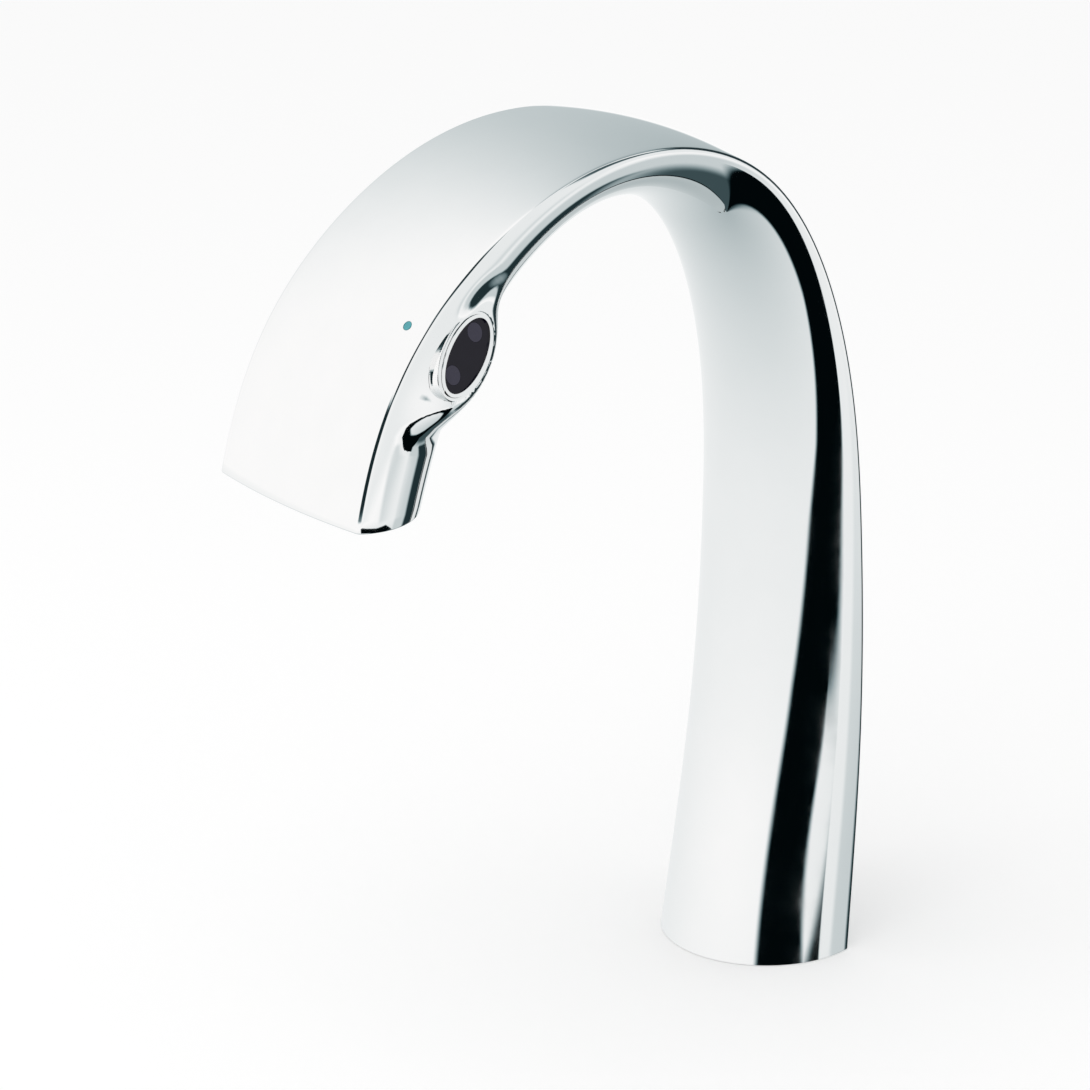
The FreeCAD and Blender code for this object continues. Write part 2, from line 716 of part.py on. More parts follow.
CASE = " - dims.shoulder_step - dims.fit_gap"
FLOOR = "(" + SEAL_LOW + " - dims.housing_depth)"
SHELF = "(" + SEAL_LOW + " - dims.board_drop)"
CABLE_LEVEL = "(" + FLOOR + " + dims.housing_wall + dims.cable_radius + dims.cable_floor)"
BOARD_TOP = "(" + SHELF + " + dims.board_thickness)"
case_flange = oval(
    "case_flange", LONG + RIM + " - dims.run_gap", SHORT + RIM + " - dims.run_gap",
    "dims.housing_wall", z="-dims.seat_depth",
)
case_outer = oval("case_outer", LONG + CASE, SHORT + CASE, "dims.housing_depth", z=FLOOR)
case_room = oval(
    "case_room", LONG + CASE + " - dims.housing_wall", SHORT + CASE + " - dims.housing_wall",
    "dims.housing_depth", z=SHELF,
)
case_base = oval(
    "case_base", LONG + CASE + " - 2 * dims.housing_wall", SHORT + CASE + " - 2 * dims.housing_wall",
    "dims.housing_depth", z=FLOOR + " + dims.housing_wall",
)
gland_hole = rod(
    "gland_hole", "dims.cable_radius + dims.gland_wall + dims.run_gap", LONG, z=CABLE_LEVEL
)
gland_hole.Placement.Rotation = Rotation(Vector(0, 1, 0), 90)
sensor_housing = in_pod(cut(
    "sensor_housing", fuse("case_walls", case_flange, case_outer), case_room, case_base, gland_hole
))

BOARD = CASE + " - dims.housing_wall - dims.fit_gap"
sensor_board = in_pod(oval(
    "sensor_board", LONG + BOARD, SHORT + BOARD, "dims.board_thickness", z=SHELF
))

EMITTER = ("dims.lens_spread", "dims.led_shift")
led_foot = rod(
    "led_foot", "dims.led_radius + dims.led_flange", "dims.led_flange_height", *EMITTER, BOARD_TOP
)
led_stem = rod(
    "led_stem", "dims.led_radius", "dims.led_height - dims.led_radius", *EMITTER, BOARD_TOP
)
led_dome = document.addObject("Part::Sphere", "led_dome")
led_dome.setExpression("Radius", "dims.led_radius")
at(led_dome, *EMITTER, BOARD_TOP + " + dims.led_height - dims.led_radius")
emitter_led = in_pod(fuse("emitter_led", led_foot, led_stem, led_dome))

diode_case = block(
    "diode_case", "2 * dims.led_radius", "2 * dims.led_radius", "dims.diode_height",
    "-dims.lens_spread - dims.led_radius", "dims.led_shift - dims.led_radius", BOARD_TOP,
)
diode_dish = rod(
    "diode_dish", "dims.dish_radius", "dims.diode_height", "-dims.lens_spread", "dims.led_shift",
    BOARD_TOP + " + dims.diode_height - dims.dish_depth",
)
receiver_diode = in_pod(cut("receiver_diode", diode_case, diode_dish))

web = block(
    "baffle_web", "dims.baffle_thickness", "2 * dims.baffle_half",
    "dims.board_drop - dims.board_thickness",
    "-dims.baffle_thickness / 2", "-dims.baffle_half", BOARD_TOP,
)
foot = block(
    "baffle_foot", "dims.baffle_thickness * 2", "2 * dims.baffle_half", "dims.led_flange_height",
    "-dims.baffle_thickness", "-dims.baffle_half", BOARD_TOP,
)
light_baffle = in_pod(fuse("light_baffle", web, foot))

# ------------------------------------------------------------- light pipe

PIPE_FLANGE_TOP = "-dims.wall - dims.pipe_drop"
pipe_stem = rod("pipe_stem", "dims.light_radius", "dims.light_length", z="-dims.light_length")
pipe_flange = rod(
    "pipe_flange", "dims.light_radius + dims.pipe_flange", "dims.pipe_flange_height",
    z=PIPE_FLANGE_TOP + " - dims.pipe_flange_height",
)
indicator_lens = fuse("indicator_lens", pipe_stem, pipe_flange)
indicator_lens.Placement = LIGHT
chip_case = block(
    "chip_case", "dims.chip_width", "dims.chip_width", "dims.chip_height",
    "-dims.chip_width / 2", "-dims.chip_width / 2", "-dims.light_length - dims.chip_height",
)
chip_cup = rod("chip_cup", "dims.cup_radius", "dims.cup_depth", z="-dims.light_length - dims.cup_depth")
indicator_led = cut("indicator_led", chip_case, chip_cup)
indicator_led.Placement = LIGHT

# ------------------------------------------------------------- water


def rounded_wire(points):
    """Straight runs joined by tangent arcs, each as large as its runs allow."""
    edges = []
    start = points[0]
    for before, corner, after in zip(points, points[1:], points[2:]):
        incoming = corner - before
        outgoing = after - corner
        reach = 0.45 * min(incoming.Length, outgoing.Length)
        incoming.normalize()
        outgoing.normalize()
        turn = incoming.getAngle(outgoing)
        radius = reach / math.tan(turn / 2)
        towards = outgoing - incoming
        towards.normalize()
        middle = corner + towards * (radius / math.cos(turn / 2) - radius)
        entry = corner - incoming * reach
        leave = corner + outgoing * reach
        edges.append(Part.LineSegment(start, entry).toShape())
        edges.append(Part.Arc(entry, middle, leave).toShape())
        start = leave
    edges.append(Part.LineSegment(start, points[-1]).toShape())
    return Part.Wire(edges)


def hose(points, radius):
    """Round solid along a route."""
    route = rounded_wire(points)
    direction = points[1] - points[0]
    ring = Part.Wire([Part.Circle(points[0], direction, radius).toShape()])
    return route.makePipeShell([ring], True, False)


def report_route(name, points, radius):
    """Print the bends of a cord, and its volume against section times length."""
    route = rounded_wire(points)
    bends = [edge.Curve.Radius for edge in route.Edges if edge.Curve.TypeId == "Part::GeomCircle"]
    section = math.pi * radius ** 2 * route.Length
    solid = hose(points, radius)
    print("%s: %.0f mm long, least bend %.1f mm" % (name, route.Length, min(bends)))
    print("%s: bends %s" % (name, ", ".join("%.0f" % bend for bend in bends)))
    print("%s: volume %.0f mm3, section times length %.0f mm3" % (name, solid.Volume, section))


def lane_points():
    """Points in the middle of the neck that the water tube is bent at."""
    spans = round(size("tube_bends"))
    first = size("tube_start")
    last = neck_length - size("tube_end")
    points = []
    for step in range(spans + 1):
        point, along, inward, measures = neck_at(first + (last - first) * step / spans)
        points.append(point + inward * measures.y * size("tube_share"))
    return points


LANE = lane_points()
plate_top = size("gasket_height") + size("plate_thickness")
fitting_top = plate_top + size("fitting_rise")
nozzle_x = size("lip_x") - size("nozzle_setback")
outlet_floor = size("lip_z") + size("nozzle_recess") + size("nozzle_height") + size("socket_sole")
inlet_mouth = Vector(size("inlet_x"), 0, fitting_top - size("socket_depth"))
inlet_riser = Vector(size("inlet_x"), 0, fitting_top + size("tube_straight"))
outlet_mouth = Vector(nozzle_x, 0, outlet_floor)
outlet_riser = outlet_mouth + Vector(0, 0, 2 * size("outlet_socket"))
tube_route = [inlet_mouth, inlet_riser] + LANE + [outlet_riser, outlet_mouth]
tube_outside = raw("tube_outside", hose(tube_route, size("tube_radius")))
tube_inside = raw("tube_inside", hose(tube_route, size("tube_bore")))
waterway_tube = cut("waterway_tube", tube_outside, tube_inside)

FITTING_TOP = "(" + PLATE_TOP + " + dims.fitting_rise)"
SOCKET_FLOOR = "(" + FITTING_TOP + " - dims.socket_depth)"
GROOVE_TOP = "(" + FITTING_TOP + " - dims.groove_drop)"
GROOVE_LOW = GROOVE_TOP + " - dims.groove_width"
FLANGE_TOP = PLATE_TOP + " + dims.flange_height"
THREAD_TOP = "(dims.tail_thread - dims.tail_length)"
SOCKET = "dims.tube_radius + dims.run_gap"
inlet_fitting = turned(
    "inlet_fitting",
    ("dims.valve_chamber", "-dims.tail_length"),
    ("dims.tail_radius", "-dims.tail_length"),
    ("dims.tail_radius", THREAD_TOP),
    ("dims.tail_radius - dims.relief_depth", THREAD_TOP),
    ("dims.tail_radius - dims.relief_depth", THREAD_TOP + " + dims.relief_width"),
    ("dims.tail_radius", THREAD_TOP + " + dims.relief_width"),
    ("dims.tail_radius", PLATE_TOP),
    ("dims.socket_wall + dims.fitting_flange", PLATE_TOP),
    ("dims.socket_wall + dims.fitting_flange", FLANGE_TOP),
    ("dims.socket_wall", FLANGE_TOP),
    ("dims.socket_wall", FITTING_TOP),
    (SOCKET, FITTING_TOP),
    (SOCKET, GROOVE_TOP),
    ("dims.groove_radius", GROOVE_TOP),
    ("dims.groove_radius", GROOVE_LOW),
    (SOCKET, GROOVE_LOW),
    (SOCKET, SOCKET_FLOOR),
    ("dims.tube_bore", SOCKET_FLOOR),
    ("dims.tube_bore", "dims.chamber_top"),
    ("dims.valve_chamber", "dims.chamber_top"),
)


def ring_seal(name, x, middle):
    """Ring seal squeezed in a groove around the water tube."""
    ring = document.addObject("Part::Torus", name)
    ring.setExpression("Radius1", "dims.tube_radius + dims.run_gap + dims.seal_radius")
    ring.setExpression("Radius2", "dims.seal_radius")
    return at(ring, x, "0", middle)


OUTLET_SOCKET_TOP = "(" + BLOCK_TOP + " + dims.socket_sole + dims.outlet_socket)"
OUTLET_GROOVE_LOW = "(" + OUTLET_SOCKET_TOP + " - dims.groove_drop - dims.groove_width)"
tube_seals = document.addObject("Part::Compound", "tube_seals")
tube_seals.Links = [
    ring_seal("inlet_seal", "dims.inlet_x", GROOVE_LOW + " + dims.groove_width / 2"),
    ring_seal("outlet_seal", NOZZLE, OUTLET_GROOVE_LOW + " + dims.groove_width / 2"),
]

VALVE = "dims.valve_chamber - dims.run_gap"
CAGE_LOW = "(dims.chamber_top - dims.cage_height)"
CAGE_TOP = "(dims.chamber_top - dims.rest_gap)"
ROOF = "(" + CAGE_TOP + " - dims.cage_roof)"
SEAT = "(" + CAGE_LOW + " + dims.cage_seat)"
check_cage = turned(
    "check_cage",
    ("dims.poppet_radius - dims.seat_lap", CAGE_LOW),
    (VALVE, CAGE_LOW),
    (VALVE, CAGE_TOP),
    ("dims.stem_radius + dims.run_gap + dims.stem_way", CAGE_TOP),
    ("dims.stem_radius + dims.run_gap + dims.stem_way", ROOF),
    ("dims.poppet_radius + dims.flow_gap", ROOF),
    ("dims.poppet_radius + dims.flow_gap", SEAT),
    ("dims.poppet_radius - dims.seat_lap", SEAT),
)
PLUG_LOW = "(" + SEAT + " + dims.rest_gap)"
PLUG_TOP = "(" + PLUG_LOW + " + dims.poppet_height)"
check_poppet = turned(
    "check_poppet",
    ("0", PLUG_LOW),
    ("dims.poppet_radius - dims.poppet_chamfer", PLUG_LOW),
    ("dims.poppet_radius", PLUG_LOW + " + dims.poppet_chamfer"),
    ("dims.poppet_radius", PLUG_TOP),
    ("dims.stem_radius", PLUG_TOP),
    ("dims.stem_radius", ROOF + " - dims.stem_gap"),
    ("0", ROOF + " - dims.stem_gap"),
)
for water_piece in (inlet_fitting, check_cage, check_poppet):
    water_piece.Placement = Placement(Vector(size("inlet_x"), 0, 0), Rotation())


def coil(low, high):
    """One unbroken spring of round wire around the stem of the plug."""
    wire = size("spring_wire")
    middle = size("stem_radius") + size("spring_gap") + wire
    helix = Part.makeHelix((high - low) / size("spring_turns"), high - low, middle)
    ring = Part.Circle(Vector(middle, 0, 0), Vector(0, 1, 0), wire).toShape()
    spring = Part.Wire(helix).makePipeShell([Part.Wire([ring])], True, False)
    spring.Placement = Placement(Vector(size("inlet_x"), 0, low), Rotation())
    return spring


spring_low = float(dims.evalExpression(PLUG_TOP + " + dims.spring_seat"))
spring_high = float(dims.evalExpression(ROOF + " - dims.spring_seat"))
check_spring = raw("check_spring", coil(spring_low, spring_high))


def ring_of_holes(name, count, ring, radius, x, level):
    """Round holes spaced evenly on a circle."""
    holes = []
    for step in range(count):
        angle = str(360 * step / count)
        across = x + " + " + ring + " * cos(" + angle + ")"
        aside = ring + " * sin(" + angle + ")"
        holes.append(bore(name + "_%d" % step, radius, across, aside, level))
    return holes


STRAINER_LOW = "(dims.strainer_inset - dims.tail_length)"
SKIRT_LOW = STRAINER_LOW + " + dims.strainer_thickness"
strainer_plate = rod(
    "strainer_plate", VALVE, "dims.strainer_thickness", "dims.inlet_x", "0", STRAINER_LOW
)
strainer_skirt = rod(
    "strainer_skirt", VALVE, "dims.strainer_skirt", "dims.inlet_x", "0", SKIRT_LOW
)
strainer_room = rod(
    "strainer_room", VALVE + " - dims.strainer_wall", REACH, "dims.inlet_x", "0", SKIRT_LOW
)
inlet_strainer = cut(
    "inlet_strainer", fuse("strainer_cup", strainer_plate, strainer_skirt), strainer_room,
    *ring_of_holes(
        "strainer_hole", 8, "dims.strainer_ring", "dims.strainer_hole", "dims.inlet_x", STRAINER_LOW
    ),
)

# ------------------------------------------------------------- outlet

block_lip = block(
    "block_lip", REACH, REACH, "dims.nozzle_height", NOZZLE + " / 2", "-" + HALF_REACH, BLOCK_LOW
)
block_plate = common("block_plate", core, block_lip)
block_socket = rod(
    "block_socket", "dims.socket_wall", "dims.socket_sole + dims.outlet_socket",
    NOZZLE, "0", BLOCK_TOP,
)
block_thread = rod(
    "block_thread", "dims.aerator_radius + dims.run_gap",
    "dims.aerator_height + dims.washer_thickness + dims.rest_gap", NOZZLE, "0", BLOCK_LOW,
)
block_channel = bore("block_channel", "dims.tube_bore", NOZZLE, "0", BLOCK_LOW)
block_mouth = rod("block_mouth", SOCKET, REACH, NOZZLE, "0", BLOCK_TOP + " + dims.socket_sole")
block_groove = rod(
    "block_groove", "dims.groove_radius", "dims.groove_width", NOZZLE, "0", OUTLET_GROOVE_LOW
)
block_screw_way = bore(
    "block_screw_way", "dims.screw_radius + dims.fit_gap", *NOZZLE_SCREW, BLOCK_LOW
)
HEAD_SEAT = ("dims.screw_head + dims.fit_gap", "dims.head_height + dims.head_inset")
block_screw_seat = rod("block_screw_seat", *HEAD_SEAT, *NOZZLE_SCREW, BLOCK_LOW)
nozzle_block = cut(
    "nozzle_block", fuse("block_solid", block_plate, block_socket),
    block_thread, block_channel, block_mouth, block_groove,
    pair("block_screw_ways", block_screw_way), pair("block_screw_seats", block_screw_seat),
)


def cap_screws(name, x, y, low, length):
    """Two round-headed screws that point up, with hexagon sockets in their heads."""
    head = rod(name + "_head", "dims.screw_head", "dims.head_height", x, y, low)
    stem = rod(name + "_stem", "dims.screw_radius", length, x, y, low)
    key = document.addObject("Part::Prism", name + "_key")
    key.Polygon = 6
    key.setExpression("Circumradius", "dims.hex_radius")
    key.setExpression("Height", "dims.hex_depth")
    at(key, x, y, low)
    return pair(name + "s", cut(name, fuse(name + "_blank", head, stem), key))


SCREW_IN_BOSS = " + dims.boss_height - dims.tap_rest - dims.head_inset - dims.rest_gap"
nozzle_screws = cap_screws(
    "nozzle_screw", *NOZZLE_SCREW, BLOCK_LOW + " + dims.head_inset",
    "dims.nozzle_height" + SCREW_IN_BOSS,
)

AERATOR_TOP = "(" + BLOCK_LOW + " + dims.aerator_height)"
INNER = "dims.aerator_radius - dims.aerator_wall"
MOUTH = INNER + " - dims.aerator_lip"
ring_blank = rod("ring_blank", "dims.aerator_radius", "dims.aerator_height", NOZZLE, "0", BLOCK_LOW)
ring_room = rod("ring_room", INNER, REACH, NOZZLE, "0", BLOCK_LOW + " + dims.aerator_foot")
ring_mouth = bore("ring_mouth", MOUTH, NOZZLE, "0", BLOCK_LOW)
ring_slot = block(
    "ring_slot", "dims.slot_width", REACH, "2 * dims.slot_depth",
    NOZZLE + " - dims.slot_width / 2", "-" + HALF_REACH, BLOCK_LOW + " - dims.slot_depth",
)
cross_slot = block(
    "ring_cross_slot", REACH, "dims.slot_width", "2 * dims.slot_depth",
    NOZZLE + " - " + HALF_REACH, "-dims.slot_width / 2", BLOCK_LOW + " - dims.slot_depth",
)
aerator_ring = cut("aerator_ring", ring_blank, ring_room, ring_mouth, ring_slot, cross_slot)

INSERT = INNER + " - dims.run_gap"
INSERT_LOW = "(" + BLOCK_LOW + " + dims.aerator_foot + dims.rest_gap)"
SCREENS_LOW = "(" + AERATOR_TOP + " - 2 * dims.screen_thickness)"
insert_blank = rod("insert_blank", INSERT, SCREENS_LOW + " - " + INSERT_LOW, NOZZLE, "0", INSERT_LOW)
insert_room = rod("insert_room", MOUTH, REACH, NOZZLE, "0", INSERT_LOW + " + dims.insert_floor")
aerator_cage = cut(
    "aerator_cage", insert_blank, insert_room,
    *ring_of_holes("jet", 10, "dims.jet_ring", "dims.jet_radius", NOZZLE, BLOCK_LOW),
    *ring_of_holes("core_jet", 5, "dims.core_jet_ring", "dims.core_jet_radius", NOZZLE, BLOCK_LOW),
)

lower_screen = rod(
    "lower_screen", INSERT, "dims.screen_thickness - dims.screen_gap", NOZZLE, "0", SCREENS_LOW
)
upper_screen = rod(
    "upper_screen", INSERT, "dims.screen_thickness", NOZZLE, "0",
    SCREENS_LOW + " + dims.screen_thickness",
)
aerator_screens = cut(
    "aerator_screens", fuse("screen_pair", lower_screen, upper_screen),
    *ring_of_holes("mesh", 12, "dims.mesh_ring", "dims.mesh_radius", NOZZLE, BLOCK_LOW),
    *ring_of_holes("core_mesh", 6, "dims.core_mesh_ring", "dims.mesh_radius", NOZZLE, BLOCK_LOW),
)

washer_blank = rod(
    "washer_blank", "dims.aerator_radius - dims.fit_gap", "dims.washer_thickness",
    NOZZLE, "0", AERATOR_TOP,
)
washer_hole = bore("washer_hole", MOUTH, NOZZLE, "0", AERATOR_TOP)
aerator_washer = cut("aerator_washer", washer_blank, washer_hole)

# ------------------------------------------------------------- base

PLATE_LOW = "dims.gasket_height"
plate_blank = common(
    "plate_blank", core, slice_tool("plate_slice", PLATE_LOW, "dims.plate_thickness")
)
plate_inlet = bore("plate_inlet", "dims.tail_radius + dims.run_gap", "dims.inlet_x", "0", PLATE_LOW)
plate_stud = bore("plate_stud", "dims.stud_radius + dims.run_gap", "dims.stud_x", "0", PLATE_LOW)
plate_plug = bore(
    "plate_plug", "dims.plug_radius + dims.run_gap", "dims.plug_x", "dims.plug_y", PLATE_LOW
)
plate_screw_way = bore(
    "plate_screw_way", "dims.screw_radius + dims.fit_gap", *PLATE_SCREW, PLATE_LOW
)
plate_screw_seat = rod("plate_screw_seat", *HEAD_SEAT, *PLATE_SCREW, PLATE_LOW)
base_plate = cut(
    "base_plate", plate_blank, plate_inlet, plate_stud, plate_plug,
    pair("plate_screw_ways", plate_screw_way), pair("plate_screw_seats", plate_screw_seat),
)
plate_screws = cap_screws(
    "plate_screw", *PLATE_SCREW, PLATE_LOW + " + dims.head_inset",
    "dims.plate_thickness" + SCREW_IN_BOSS,
)

seal_blank = common("seal_blank", core, slice_tool("seal_slice", "0", PLATE_LOW))
seal_way = bore("seal_way", "dims.deck_hole", "0", "0", PLATE_LOW)
seal_screw_way = bore("seal_screw_way", "dims.screw_head", *PLATE_SCREW, PLATE_LOW)
base_gasket = cut("base_gasket", seal_blank, seal_way, pair("seal_screw_ways", seal_screw_way))

mount_stud = rod(
    "mount_stud", "dims.stud_radius", "dims.stud_length + " + PLATE_TOP,
    "dims.stud_x", "0", "-dims.stud_length",
)


def horseshoe(name, thickness, top):
    """Round plate with a slot for the inlet and a hole for the stud."""
    disc = rod(name + "_disc", "dims.clamp_radius", thickness, "0", "0", top + " - " + thickness)
    slot_end = bore(name + "_slot_end", "dims.clamp_slot", "dims.inlet_x", "0", top)
    slot = block(
        name + "_slot", REACH, "2 * dims.clamp_slot", REACH,
        "dims.inlet_x", "-dims.clamp_slot", top + " - " + HALF_REACH,
    )
    hole = bore(name + "_hole", "dims.stud_radius + dims.run_gap", "dims.stud_x", "0", top)
    return cut(name, disc, slot_end, slot, hole)


PAD_TOP = "-dims.deck_thickness"
CLAMP_TOP = PAD_TOP + " - dims.pad_thickness"
NUT_LOW = CLAMP_TOP + " - dims.clamp_thickness - dims.nut_height"
clamp_pad = horseshoe("clamp_pad", "dims.pad_thickness", PAD_TOP)
clamp_plate = horseshoe("clamp_plate", "dims.clamp_thickness", CLAMP_TOP)
nut_blank = document.addObject("Part::Prism", "nut_blank")
nut_blank.Polygon = 6
nut_blank.setExpression("Circumradius", "dims.nut_flats / sqrt(3)")
nut_blank.setExpression("Height", "dims.nut_height")
at(nut_blank, "dims.stud_x", "0", NUT_LOW)
nut_bore = bore("nut_bore", "dims.stud_radius + dims.run_gap", "dims.stud_x", "0", NUT_LOW)
clamp_nut = cut("clamp_nut", nut_blank, nut_bore)

# ------------------------------------------------------------- wiring

aside = Vector(0, size("cable_lane"), 0)
cable_level = float(dims.evalExpression(CABLE_LEVEL))
case_inside = size("window_long") - size("shoulder_step") - size("fit_gap") - size("housing_wall")
gland_inside = POD.multVec(Vector(case_inside, 0, cable_level))
gland_out = size("housing_wall") + size("gland_straight")
gland_outside = POD.multVec(Vector(case_inside + gland_out, 0, cable_level))
plug_mouth = Vector(size("plug_x"), size("plug_y"), plate_top + size("plug_head"))
plug_riser = plug_mouth + Vector(0, 0, size("cable_rise"))
cable_lane = [place + aside for place in LANE[:-1]]
cable_route = [plug_mouth, plug_riser] + cable_lane + [gland_outside, gland_inside]
sensor_cable = raw("sensor_cable", hose(cable_route, size("cable_radius")))
report_route("water tube", tube_route, size("tube_radius"))
report_route("sensor cable", cable_route, size("cable_radius"))

gland_sleeve = rod(
    "gland_sleeve", "dims.cable_radius + dims.gland_wall",
    "dims.gland_reach + dims.housing_wall + dims.gland_length", z="-dims.gland_reach",
)
gland_lip = rod(
    "gland_lip", "dims.cable_radius + dims.gland_wall + dims.gland_lip", "dims.gland_length / 2",
    z="dims.housing_wall + dims.gland_length / 2",
)
gland_bore = rod("gland_bore", "dims.cable_radius + dims.gland_fit", REACH, z="-" + HALF_REACH)
cable_gland = cut("cable_gland", fuse("gland_blank", gland_sleeve, gland_lip), gland_bore)
cable_gland.Placement = POD.multiply(Placement(
    Vector(case_inside, 0, cable_level), Rotation(Vector(0, 1, 0), 90)
))

PLUG_LOW_END = PLATE_LOW + " - dims.plug_drop"
plug_shell = rod(
    "plug_shell", "dims.plug_radius", "dims.plug_drop + dims.plate_thickness + dims.plug_head",
    "dims.plug_x", "dims.plug_y", PLUG_LOW_END,
)
plug_flange = rod(
    "plug_flange", "dims.plug_radius + dims.plug_flange", "dims.plug_flange_height",
    "dims.plug_x", "dims.plug_y", PLATE_TOP,
)
plug_room = rod(
    "plug_room", "dims.plug_radius - dims.plug_wall", "dims.plug_depth",
    "dims.plug_x", "dims.plug_y", PLUG_LOW_END,
)
plug_body = cut("plug_body", fuse("plug_blank", plug_shell, plug_flange), plug_room)
plug_pins = [
    rod("plug_pin" + side, "dims.pin_radius", "dims.pin_length",
        "dims.plug_x " + sign + " dims.pin_spread", "dims.plug_y",
        PLUG_LOW_END + " + dims.plug_depth - dims.pin_length")
    for side, sign in (("_ahead", "+"), ("_behind", "-"))
]
cable_socket = fuse("cable_socket", plug_body, *plug_pins)


def spacer(index):
    """Plate across the neck, with ways for the tube, the cable and air."""
    low = LANE[index]
    high = LANE[index + 1]
    along = (high - low).normalize()
    inward = Vector(along.z, 0, -along.x)
    middle = Placement((low + high) / 2, Rotation(inward, Vector(0, 1, 0), along, "ZXY"))
    name = "spacer_%d" % index
    half = size("tool_reach") / 2
    slab = block(name + "_slab", REACH, REACH, "dims.spacer_thickness")
    corner = Vector(-half, -half, -size("spacer_thickness") / 2)
    slab.Placement = middle.multiply(Placement(corner, Rotation()))
    ways = (
        (rod(name + "_tube_way", "dims.tube_radius + dims.fit_gap", REACH), 0),
        (rod(name + "_cable_way", "dims.cable_radius + dims.fit_gap", REACH), size("cable_lane")),
        (oval(name + "_drain", "dims.drain_long", "dims.drain_short", REACH), -size("drain_aside")),
    )
    for way, across in ways:
        way.Placement = middle.multiply(Placement(Vector(0, across, -half), Rotation()))
    tools = [way for way, across in ways]
    return cut(name, common(name + "_blank", local_core(name, middle), slab), *tools)


def local_core(name, middle):
    """The part of the neck's inside near one spacer, apart from its other leg."""
    reach = size("tube_straight") * 3
    near = document.addObject("Part::Sphere", name + "_near")
    near.Radius = reach
    near.Placement = middle
    return common(name + "_core", core, near)


neck_spacers = document.addObject("Part::Compound", "neck_spacers")
neck_spacers.Links = [spacer(index) for index in (0, 2, 4, 6)]

# ------------------------------------------------------------- files

PIECES = {
    "spout_body": spout_body,
    "window_bezel": window_bezel,
    "sensor_window": sensor_window,
    "emitter_lens": emitter_lens,
    "receiver_lens": receiver_lens,
    "window_gasket": window_gasket,
    "sensor_housing": sensor_housing,
    "sensor_board": sensor_board,
    "emitter_led": emitter_led,
    "receiver_diode": receiver_diode,
    "light_baffle": light_baffle,
    "indicator_lens": indicator_lens,
    "indicator_led": indicator_led,
    "cable_gland": cable_gland,
    "sensor_cable": sensor_cable,
    "cable_socket": cable_socket,
    "neck_spacers": neck_spacers,
    "waterway_tube": waterway_tube,
    "tube_seals": tube_seals,
    "inlet_fitting": inlet_fitting,
    "inlet_strainer": inlet_strainer,
    "check_cage": check_cage,
    "check_poppet": check_poppet,
    "check_spring": check_spring,
    "nozzle_block": nozzle_block,
    "nozzle_screws": nozzle_screws,
    "aerator_ring": aerator_ring,
    "aerator_cage": aerator_cage,
    "aerator_screens": aerator_screens,
    "aerator_washer": aerator_washer,
    "base_plate": base_plate,
    "base_gasket": base_gasket,
    "plate_screws": plate_screws,
    "mount_stud": mount_stud,
    "clamp_plate": clamp_plate,
    "clamp_pad": clamp_pad,
    "clamp_nut": clamp_nut,
}

document.recompute()
for item in document.Objects:
    if "Invalid" in item.State or "Error" in item.State:
        raise RuntimeError(item.Name + " could not be computed")
for name, piece in PIECES.items():
    if piece.Shape.isNull() or not piece.Shape.isValid() or piece.Shape.Volume <= 0:
        raise RuntimeError(name + " has no valid shape")

os.makedirs("parts", exist_ok=True)
for name, piece in PIECES.items():
    piece.Label = name
    piece.Shape.exportStep("parts/" + name + ".step")
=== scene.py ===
import json
import math

import bpy
from mathutils import Matrix, Vector

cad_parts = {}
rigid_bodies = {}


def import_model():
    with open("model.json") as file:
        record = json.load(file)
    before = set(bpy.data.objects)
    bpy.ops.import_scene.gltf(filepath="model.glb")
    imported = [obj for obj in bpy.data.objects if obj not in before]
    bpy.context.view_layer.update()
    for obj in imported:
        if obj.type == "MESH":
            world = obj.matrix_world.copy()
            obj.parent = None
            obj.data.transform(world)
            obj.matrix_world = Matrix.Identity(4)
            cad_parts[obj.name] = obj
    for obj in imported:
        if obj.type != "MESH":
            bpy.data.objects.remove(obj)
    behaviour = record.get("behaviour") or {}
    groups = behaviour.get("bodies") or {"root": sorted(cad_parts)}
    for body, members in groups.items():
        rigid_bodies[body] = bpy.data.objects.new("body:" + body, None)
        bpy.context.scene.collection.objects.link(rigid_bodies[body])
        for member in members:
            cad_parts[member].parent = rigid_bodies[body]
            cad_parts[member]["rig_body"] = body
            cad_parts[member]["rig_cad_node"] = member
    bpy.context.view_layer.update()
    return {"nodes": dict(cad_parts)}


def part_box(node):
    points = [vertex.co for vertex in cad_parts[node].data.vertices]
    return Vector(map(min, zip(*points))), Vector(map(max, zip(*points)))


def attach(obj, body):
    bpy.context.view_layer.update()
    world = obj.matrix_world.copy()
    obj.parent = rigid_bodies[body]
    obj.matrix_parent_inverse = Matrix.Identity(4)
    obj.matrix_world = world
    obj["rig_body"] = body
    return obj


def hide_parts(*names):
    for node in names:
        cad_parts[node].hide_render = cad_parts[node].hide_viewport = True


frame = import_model()
nodes = frame["nodes"]
MM = 0.001

# ---------------------------------------------------------------- cast body
# One brass casting with a base, a rising column and an arched spout that
# swells into the sensor pod. Its wall is 2.6 mm thick, two long edges are
# crisp, and the skin is polished and chrome plated.

